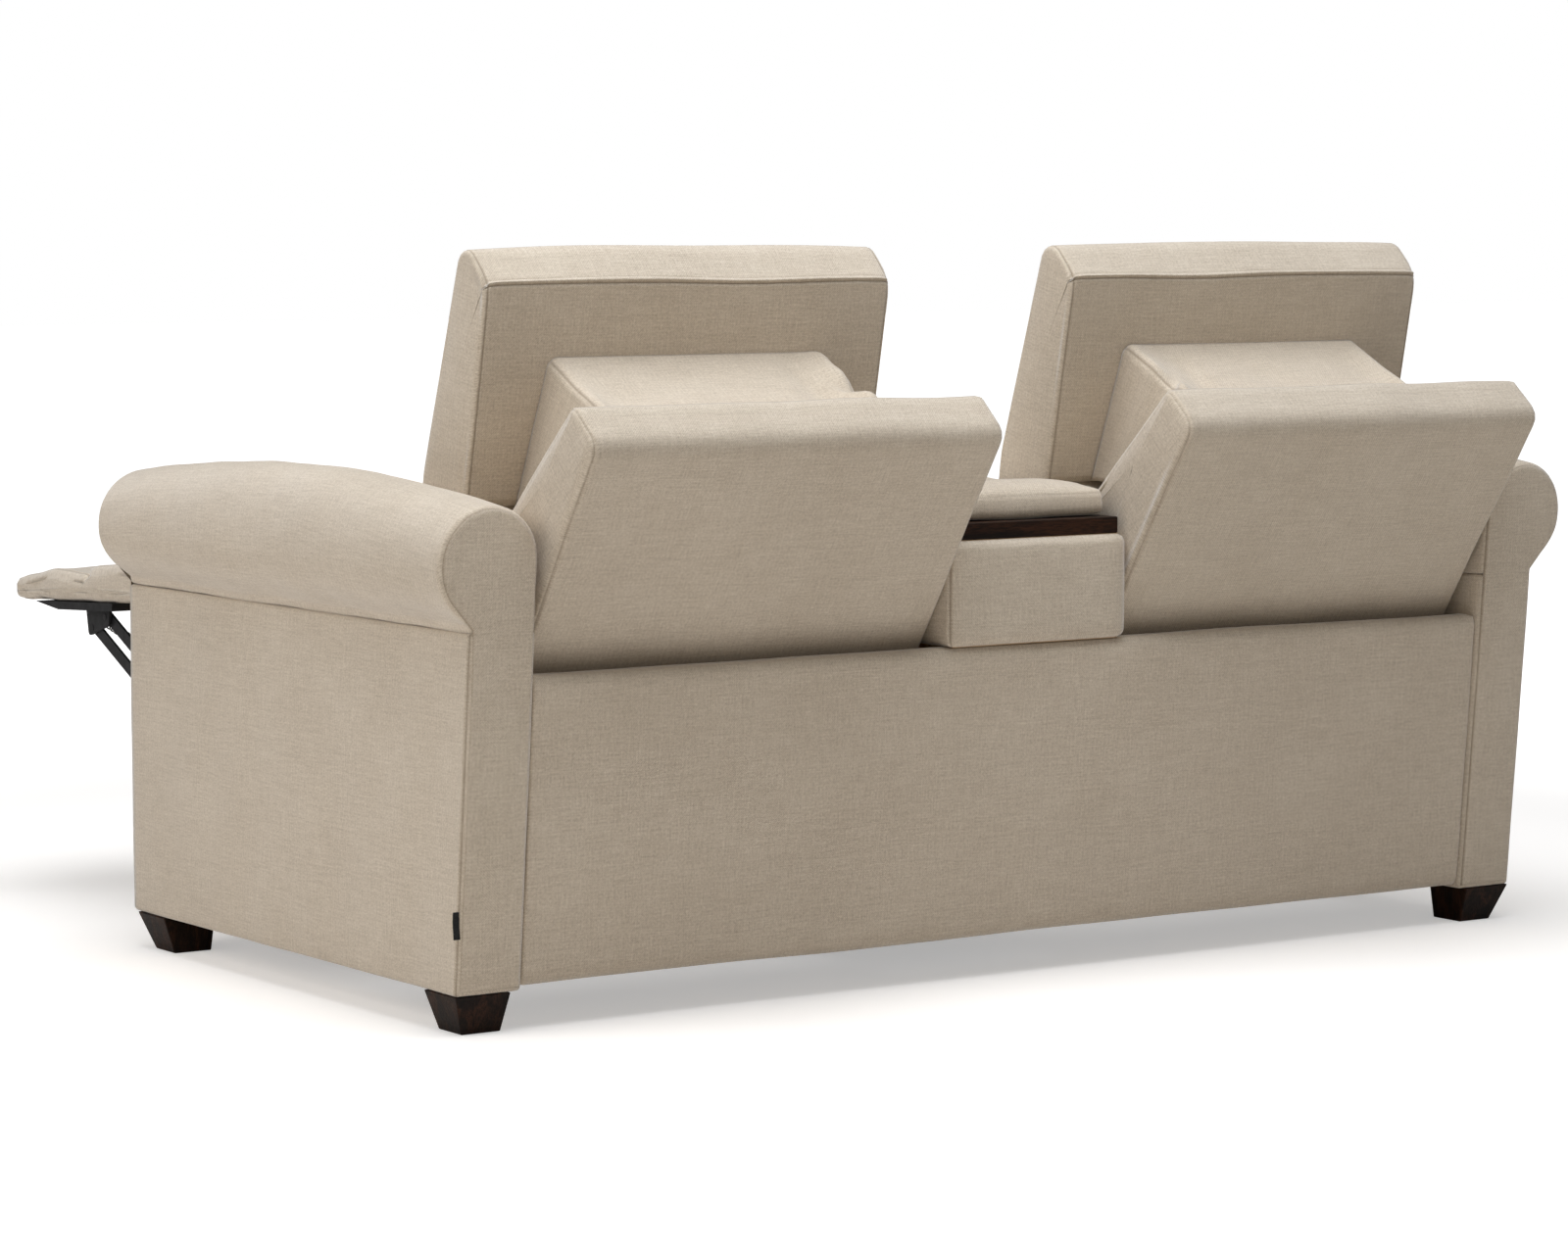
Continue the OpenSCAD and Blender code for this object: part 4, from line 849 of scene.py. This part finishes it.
def seat_cushion(name, i):
    low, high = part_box("seat_cushion_left")
    outline = Outline(crowned(low, high, 0.016, 0.006), [0.018, 0.018, 0.032, 0.60, 0.040])
    top_seam, foot_seam = outline.corner_s(4) - 0.012, outline.corner_s(0) + 0.004
    return make_form(name, outline, low.x, high.x, edge=0.022, drop=0.006, bulge=0.005, pitch=0.012,
                     line_seams=[top_seam, foot_seam], seed=61 + i, ripple=0.0016, ripple_size=0.13,
                     end_seam=0.7)


SHELL = dict(front=0.078, top_t=0.076, top=0.475, peak=0.013, board=0.040, low=0.035, block=0.152,
             lift=0.004, taper=math.radians(14.3))


def back_shell(name, i):
    """The back's outer shell: a hook in section, whose board leans away below the deep top."""
    top, low, crest = SHELL["top"], SHELL["low"], SHELL["top"] + SHELL["peak"]

    def rear_at(u):
        return SHELL["top_t"] - SHELL["front"] + (crest - u) * math.tan(SHELL["taper"])

    board = SHELL["board"] / math.cos(SHELL["taper"])
    bend = SHELL["block"] + SHELL["board"] * 1.5
    pts = [(-SHELL["front"], top + SHELL["lift"]), (-SHELL["front"], SHELL["block"]),
           (rear_at(bend) - board, bend), (rear_at(low) - board, low - SHELL["peak"] * 0.7),
           (rear_at(low), low), (rear_at(crest), crest)]
    outline = Outline(pts, [0.010, 0.006, 0.010, 0.004, 0.009, 0.024])
    return make_form(name, outline, *SEAT_X, edge=0.011, drop=0.0015, bulge=0.003, pitch=0.012, seed=71 + i,
                     ripple=0.0009, ripple_size=0.17, frame_matrix=BACK, core=(-0.045, 0.36), end_seam=0.55,
                     end_dark=0.6)


def angle_at(y, r):
    """Where a circle of radius r round the pivot reaches y, in degrees."""
    return math.degrees(math.acos(y / r))


def back_cushion(name, i):
    """The cushion with the half roll that the headrest turns round."""
    gap, thick, foot, inset = 0.0265, 0.121, -0.057, 0.016
    v1 = -SHELL["front"] - gap
    cut = HEAD_REAR - HEAD_FLAP - HEAD_GAP
    tilt = math.degrees(HEAD_TILT)
    core_from, core_to = angle_at(v1 + HEAD_FORE, CORE_R), tilt + angle_at(cut, CORE_R)
    core = [polar(CORE_R, a) for a in np.linspace(core_from, core_to, 5)]
    over = [polar(ROLL_R, a) for a in np.linspace(tilt + angle_at(cut, ROLL_R), 180, 12)]
    pts = [(v1 - thick, foot), (v1, foot)] + [np.array([-HEAD_FORE, HEAD_UP]) + p for p in core + over]
    radii = [0.030, 0.026, 0.012] + [0.004] * 3 + [0.0015, 0.006] + [0.004] * 11
    outline = Outline(pts, radii)
    return make_form(name, outline, SEAT_X[0] + inset, SEAT_X[1] - inset, edge=0.014, drop=0.003, seed=81 + i,
                     ripple=0.0014, ripple_size=0.12, frame_matrix=BACK, core=(-0.165, 0.06),
                     line_seams=[outline.corner_s(0)])


def headrest(name, i):
    """A headrest in its pivot's frame: hollow below for the roll, deep and crowned at the top."""
    socket, core = ROLL_R + HEAD_GAP, CORE_R + HEAD_GAP
    rear, front, flap = HEAD_REAR, HEAD_REAR - 0.115, HEAD_REAR - HEAD_FLAP
    lip, rear_top, front_top, top_depth = 0.058, 0.328, 0.378, 0.075
    first = 180 - math.degrees(math.asin(lip * 0.8 / socket))
    over = [polar(socket, a) for a in np.linspace(first, angle_at(flap, socket), 9)]
    inner = [polar(core, a) for a in np.linspace(angle_at(flap, core), angle_at(rear, core), 4)]
    pts = over + inner + [(rear, rear_top), (rear - top_depth, front_top), (front, lip)]
    radii = [0.005] + [0.004] * 7 + [0.003, 0.0015] + [0.004] * 3 + [0.006, 0.024, 0.008]
    outline = Outline(pts, radii)
    top_seam = outline.corner_s(13)
    # At each end the cloth goes round below the pivot as well, and covers the roll's end
    half = ROLL_R - 0.0005
    low = [(front + 0.0005, lip - 0.003), (front + 0.001, 0.030), (front + 0.0035, 0.004)]
    low += [polar(half, a) for a in np.linspace(196, 360 - angle_at(rear - 0.001, half), 36)]
    low = np.vstack([*low, (rear - 0.001, 0.034)])
    s0 = outline.corner_s(15)
    reach = (outline.corner_s(12) - s0) % outline.length
    cap_core, cheek_mid = np.array([-0.020, 0.20]), np.array([-0.020, 0.10])
    cheek_edge, rounding = 0.0072, 0.004
    crown, crown_from, crown_to = 0.0035, 0.27, 0.36
    dip, dip_x, dip_w, dip_s = 0.0035, 0.22, 0.11, 0.03
    ridge_s, ridge_out, ridge_up = 0.0022, 0.0014, 0.0018
    corner_s, corner_from, corner_in, corner_down = 0.013, 0.955, 0.0035, 0.0055
    belly, belly_top = 0.003, 0.32

    def shape(verts, s, along):
        width = SEAT_X[1] - HEAD_SLACK - SEAT_X[0]
        t = np.abs(along - width / 2) / (width / 2)
        cheek = np.minimum(along, width - along) < cheek_edge
        part = (s - s0) % outline.length <= reach
        share = (s[part] - s0) % outline.length / reach
        target = points_at(share * distances(low)[-1], low)
        inward = (cheek_mid - target) / np.linalg.norm(cheek_mid - target, axis=1)[:, None]
        base = outline.at(s[part])
        span = np.linalg.norm(cap_core - base, axis=1)
        for k in np.where(cheek)[0]:
            # Keeps how far each ring is drawn in, and carries it to the cheek's own edge
            drawn = ((verts[k][part][:, 1:] - base) * (cap_core - base)).sum(1) / span
            share = np.clip(drawn / span, 0, 1)[:, None]
            verts[k][part, 1:] = (target + (cap_core - target) * share
                                  + inward * np.clip(drawn, 0, rounding)[:, None] * (1 - share))
        # Stuffing crowns the top and rounds the rear face, and the long seam dips a little near its middle
        y, z, from_seam = verts[:, :, 1], verts[:, :, 2], s - top_seam
        z += smooth((z - crown_from) / (crown_to - crown_from)) * (crown * (1 - t ** 2.4))[:, None]
        ridge = hump(from_seam, ridge_s, ridge_s)[None] * (t < 0.985)[:, None]
        y += ridge * ridge_out
        z += ridge * ridge_up
        ends = smooth((t - corner_from) / (1 - corner_from)) ** 2
        corner = hump(from_seam, 0, corner_s)[None] * ends[:, None]
        y -= corner * corner_in
        z -= corner * corner_down
        z -= hump(along, dip_x, dip_w)[:, None] * hump(from_seam, 0, dip_s)[None] * dip
        swell = belly * np.sin(math.pi * np.clip(z / belly_top, 0, 1)) * (1 - t ** 4)[:, None]
        y += swell * (y > rear - 0.01)
        return verts

    return make_form(name, outline, SEAT_X[0], SEAT_X[1] - HEAD_SLACK, edge=0.0065, drop=0.001, bulge=0.0025,
                     seed=91 + i, ripple_size=0.20, frame_matrix=HEAD, core=cap_core, extra=(0.0011,),
                     line_seams=[top_seam - 0.002, top_seam + 0.0065], strengths=[1.0, 0.25], end_seam=0.85,
                     shape=shape)


def sheet_faces(columns, rows):
    """The faces between columns that each have one point more than rows."""
    n = rows + 1
    return [(a, a + n, a + n + 1, a + 1) for c in range(columns - 1) for a in range(c * n, c * n + rows)]


GUSSET_TOP, GUSSET_R = 0.234, 0.017


def gusset(name, i):
    """The cloth sleeve behind a headrest: a slack top and two sides, with folds where it is crowded."""
    off_head, off_shell, edge_down, heel_up, inset = 0.0012, 0.0006, 0.058, 0.270, 0.099
    flare, rows, thick, stitch = 0.024, 40, 0.0022, 0.0009
    fore = HEAD @ Vector((0, HEAD_REAR + off_head, GUSSET_TOP))
    low = HEAD @ Vector((0, HEAD_REAR + off_head, CORE_R))
    edge = BACK @ Vector((0, -SHELL["front"] - off_shell, SHELL["top"] - edge_down))
    heel = BACK @ Vector((0, -SHELL["front"] - off_shell, heel_up))
    x0, x1 = SEAT_X[0] + inset, SEAT_X[1] - inset
    # Columns run from one side's foot, up its edge, across the top and down the other side
    r_up = GUSSET_R / (GUSSET_TOP - CORE_R)
    rise = [(x0 - flare * (1 - u), u * (1 - r_up)) for u in np.linspace(0, 1, 24)]
    bend = [(x0 + GUSSET_R * (1 - math.cos(a)), 1 - r_up + r_up * math.sin(a))
            for a in np.linspace(0, math.pi / 2, 9)[1:]]
    mid = [(x, 1.0) for x in np.linspace(x0 + GUSSET_R, x1 - GUSSET_R, 92)[1:-1]]
    cols = rise + bend + mid + [(x0 + x1 - x, u) for x, u in (rise + bend)[::-1]]
    grid = np.array([[[x, *low.lerp(fore, u).lerp(heel.lerp(edge, u), r / rows).yz] for r in range(rows + 1)]
                     for x, u in cols])
    x, z = grid[:, :, 0], grid[:, :, 2]
    t = np.linspace(0, 1, rows + 1)[None, :]
    across = (x - x0) / (x1 - x0)
    top = np.array([smooth((u - 0.90) / 0.09) for _, u in cols])[:, None]
    sag, bunch, lump, side_lump = 0.007, 0.006, 0.0125, 0.009
    hollow, outer_fold, small = 0.005, 0.003, 0.0012
    z -= sag * np.sin(math.pi * t) * smooth(np.minimum(across, 1 - across) / 0.14) * top
    # Bunched cloth along the inner top edge, where the sleeve is crowded
    inner = hump(across, 0.030, 0.042)
    lumps = (np.sin(t * math.pi * 3.0 + across * 22) * 0.6
             + np.sin(t * math.pi * 5.3 + 1.1 + across * 31) * 0.4)
    slack = np.sin(math.pi * np.clip(t * 1.02, 0, 1)) ** 0.7
    z += inner * slack * (bunch + lump * lumps) * top
    x -= inner * slack * side_lump * lumps
    z -= hump(across, 0.16, 0.045) * slack * hollow * top
    z += hump(across, 0.97, 0.05) * hump(t, 0.75, 0.2) * outer_fold * np.sin(across * 60) * top
    ripples = waves(grid.reshape(-1, 3), 101 + i, 0.085).reshape(z.shape)
    z += ripples * small * np.sin(math.pi * t)
    # The stitch lines and the sleeve's sewn edge carry the seams' thread colour and painted shade
    seam = np.zeros(z.shape)
    for k in (len(rise) + 3, len(cols) - len(rise) - 4):
        seam[k] = 1.0
        z[k] -= stitch
    seam[:, 0] = 1.0
    reach = distances(grid[:, 0])
    step = float(np.linalg.norm(grid[60, 1] - grid[60, 0]))
    weave = []
    for a, b in zip(reach, reach[1:]):
        for r in range(rows):
            weave += rectangle(a, r * step, b, (r + 1) * step)
    ob = mesh_object(name, grid.reshape(-1, 3), sheet_faces(len(cols), rows), weave, seam)
    if ob.data.polygons[len(ob.data.polygons) // 2].normal.z < 0:
        ob.data.flip_normals()
    area = sum(f.area for f in ob.data.polygons)
    thicken(ob, thick, -1)
    return ob, (float(reach[-1]), step * rows, area)


def thicken(ob, thickness, offset):
    mod = ob.modifiers.new("cloth", "SOLIDIFY")
    mod.thickness = thickness
    mod.offset = offset
    apply_modifiers(ob)


def build_gussets():
    for i, (side, s) in enumerate(SIDES.items()):
        ob, (width, length, area) = gusset("gusset_cloth_" + side, i)
        if s < 0:
            mirror(ob)
        dress(ob, M_SLEEVE, "lining")
        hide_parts("headrest_gusset_" + side)
        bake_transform(ob)


def footrest_pad(name, i):
    """The footrest's pad: two cushioned fields with a pulled seam between them."""
    t1, t2, m, length, puff = 0.047, 0.056, 0.246, 0.451, 0.002
    x0, x1 = SEAT_X[0] + 0.003, SEAT_X[1] - 0.009
    g = t1 / 6
    pts = [(0, 0), (length, 0), (length, t2 - g), ((length + m) / 2, t2 + puff), (m + g, t2 - g / 2),
           (m, t1 - g * 2), (m - g, t1 - g / 2), (m / 2, t1 + puff), (0, t1 * 0.72)]
    outline = Outline(pts, [t1 / 5, t1 / 5, t2 / 3.5, m, t2 / 8, g / 4, t1 / 8, m, t1 / 3.6])
    return make_form(name, outline, x0, x1, edge=0.013, drop=0.001, bulge=0.002, pitch=0.010, seed=111 + i,
                     ripple=0.0012, frame_matrix=FOOT, core=(0.23, 0.022), end_seam=0.8)


def spring(name, a, b, x):
    """One extension spring: an unbroken coil with straight ends that meet the pins."""
    turns, r, wire, gap, turn_steps = 7, 0.007, 0.0012, 0.0033, 16
    length = np.linalg.norm(b - a)
    lead = wire * 4
    ax = np.array([0, *(b - a)]) / length
    side = np.array([1.0, 0, 0])
    other = np.cross(ax, side)
    steps = turns * turn_steps
    pts = []
    for k in range(-2, steps + 3):
        t = min(max(k, 0), steps) / steps
        ang = 2 * math.pi * turns * t
        z = gap + lead + (length - 2 * (gap + lead)) * t + (k if k < 0 else max(0, k - steps)) * lead / 2
        pts.append(np.array([x, *a]) + ax * z + (side * math.cos(ang) + other * math.sin(ang)) * (r - wire))
    curve = bpy.data.curves.new(name, "CURVE")
    curve.dimensions = "3D"
    spline = curve.splines.new("POLY")
    spline.points.add(len(pts) - 1)
    for p, q in zip(spline.points, pts):
        p.co = (*q, 1)
    curve.bevel_depth = wire
    curve.bevel_resolution = 3
    curve.use_fill_caps = True
    ob = link_object(name, curve)
    me = bpy.data.meshes.new_from_object(ob.evaluated_get(bpy.context.evaluated_depsgraph_get()))
    bpy.data.objects.remove(ob, do_unlink=True)
    shade_smooth(me)
    return link_object(name, me)


def build_springs():
    fore = PIVOT + polar(0.045, DRIVE_LINK[1]) * 0.62
    back = DRIVE + (PIVOT - DRIVE) * 0.75
    offset = 0.263
    for side, s in SIDES.items():
        for m in (-1, 1):
            ob = spring("spring_%s_%d" % (side, m > 0), fore, back, s * SEAT_MID + m * offset)
            dress(ob, M_ZINC, "zinc")
            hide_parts("footrest_springs_" + side)
            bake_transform(ob)


def build_seats():
    both_seats(seat_cushion, "seat", 0.7)
    both_seats(back_shell, "back", 0.9)
    both_seats(back_cushion, "back", 0.7)
    both_seats(headrest, "headrest", 0.8)
    both_seats(footrest_pad, "footrest", 0.7)
    build_gussets()
    build_springs()


# Feet, tab and hardware

FOOT_TOP, FOOT_BASE, FOOT_INSET, FOOT_SETBACK, FOOT_BEVEL = 0.079, 0.056, 0.0185, 0.016, 0.0018


def foot_block(name, sx, front):
    """A tapered foot: a square top against the arm, a smaller square base."""
    bm = bmesh.new()
    far = FOOT_INSET + FOOT_BASE
    v0 = [bm.verts.new((x, y, 0.0)) for x, y in rectangle(FOOT_INSET, FOOT_INSET, far, far)]
    v1 = [bm.verts.new((x, y, FOOT_H)) for x, y in rectangle(0, 0, FOOT_TOP, FOOT_TOP)]
    bm.faces.new(v0[::-1])
    bm.faces.new(v1)
    for i in range(4):
        j = (i + 1) % 4
        bm.faces.new((v0[i], v0[j], v1[j], v1[i]))
    bevel(bm, FOOT_BEVEL)
    for v in bm.verts:
        y = REAR_Y - ARM_DEPTH + FOOT_SETBACK + v.co.y if front else REAR_Y - v.co.y
        v.co = Vector(((ARM_X1 - v.co.x) * sx, y, v.co.z))
    bmesh.ops.recalc_face_normals(bm, faces=bm.faces)
    return board_object(name, bm)


def build_feet():
    for side, s in SIDES.items():
        for front in (True, False):
            ob = foot_block("foot_%s_%s" % ("front" if front else "rear", side), s, front)
            place(ob, "base", "walnut", M_WALNUT_FEET, "foot_blocks")


def ribbon_tab():
    """A short black ribbon in the arm's seam, a little wavy."""
    low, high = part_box("seam_tag")
    n, rows = 10, 12
    sewn, thick = 0.005, 0.0012     # how much of the ribbon the seam holds, and the ribbon's thickness
    width, mid = high.x - low.x + sewn, (low.y + high.y) / 2
    verts = [(low.x - sewn + width * k / n, mid + thick * math.sin(k / n * 2.6) * math.cos(r * 0.4),
              low.z + (high.z - low.z) * r / rows) for k in range(n + 1) for r in range(rows + 1)]
    ob = mesh_object("seam_tab", verts, sheet_faces(n + 1, rows))
    thicken(ob, thick, 0)
    place(ob, "base", "ribbon", M_RIBBON, "seam_tag")


def dress_cad_nodes():
    """Gives each CAD object that shows as it is the look of its slot."""
    slots = {p["node"]: p["material_slot"] for p in frame["record"]["subparts"]}
    for name, ob in frame["nodes"].items():
        if slots[name] in CAD_LOOKS:
            coat(ob, CAD_LOOKS[slots[name]])


# Stage: pale floor, soft studio light

WORLD_LIGHT = 0.14      # the world's light where the camera doesn't look at it directly


def build_stage():
    """A pale floor that fades to white, a white world that lights little, and three square lamps."""
    scene = bpy.context.scene
    scene.view_settings.view_transform = "Standard"
    bpy.ops.mesh.primitive_plane_add(size=60)
    floor = bpy.context.object
    floor.name = "floor"
    n = Nodes("floor")
    n.surface(Base_Color=(0.86, 0.82, 0.775), Roughness=0.9, Specular_IOR_Level=0.1)
    far = n.texture("VectorMath", n.add("TexCoord"), "Object", operation="LENGTH")
    fade = n.add("MapRange", interpolation_type="SMOOTHSTEP", Value=(far, "Value"), From_Min=1.7,
                 From_Max=3.2, To_Min=0.40, To_Max=1.1)
    seen = n.math("MULTIPLY", (n.add("LightPath"), "Is Camera Ray"), (fade, "Result"))
    glow = n.add("Emission", Strength=(seen, "Value"))
    both = n.add("AddShader")
    for socket, part in zip(both.inputs, ((n.shader, "BSDF"), (glow, "Emission"))):
        n.feed(socket, part)
    n.feed(n.tree.nodes["Material Output"].inputs["Surface"], (both, "Shader"))
    coat(floor, n.owner)
    sky = Nodes("world", "worlds", "Background")
    scene.world = sky.owner
    level = sky.math("MAXIMUM", (sky.add("LightPath"), "Is Camera Ray"), WORLD_LIGHT)
    sky.surface(Color=(1, 1, 1), Strength=(level, "Value"))
    # Each lamp's name, place, the point it looks at, size, power and colour
    lamps = [
        ("top", (0.4, 0.8, 3.9), (0.0, 0.1, 0.5), 3.2, 152, (0.94, 0.98, 1.04)),
        ("side", (4.6, -0.2, 2.6), (0.6, 0.2, 0.5), 2.2, 66, (1.0, 0.98, 0.96)),
        ("rear", (1.6, 5.0, 1.3), (0.0, 0.6, 0.4), 2.2, 12, (1.0, 0.95, 0.87)),
    ]
    for name, at, look, size, power, colour in lamps:
        data = bpy.data.lights.new("lamp_" + name, "AREA")
        data.shape = "SQUARE"
        data.size = size
        data.energy = power
        data.color = colour
        lamp = link_object("lamp_" + name, data)
        lamp.location = at
        lamp.rotation_euler = (Vector(look) - Vector(at)).to_track_quat("-Z", "Y").to_euler()


make_camera()
build_stage()
build_arms()
build_rear_panel()
build_console_box()
build_console_arm()
build_seats()
build_feet()
ribbon_tab()
dress_cad_nodes()
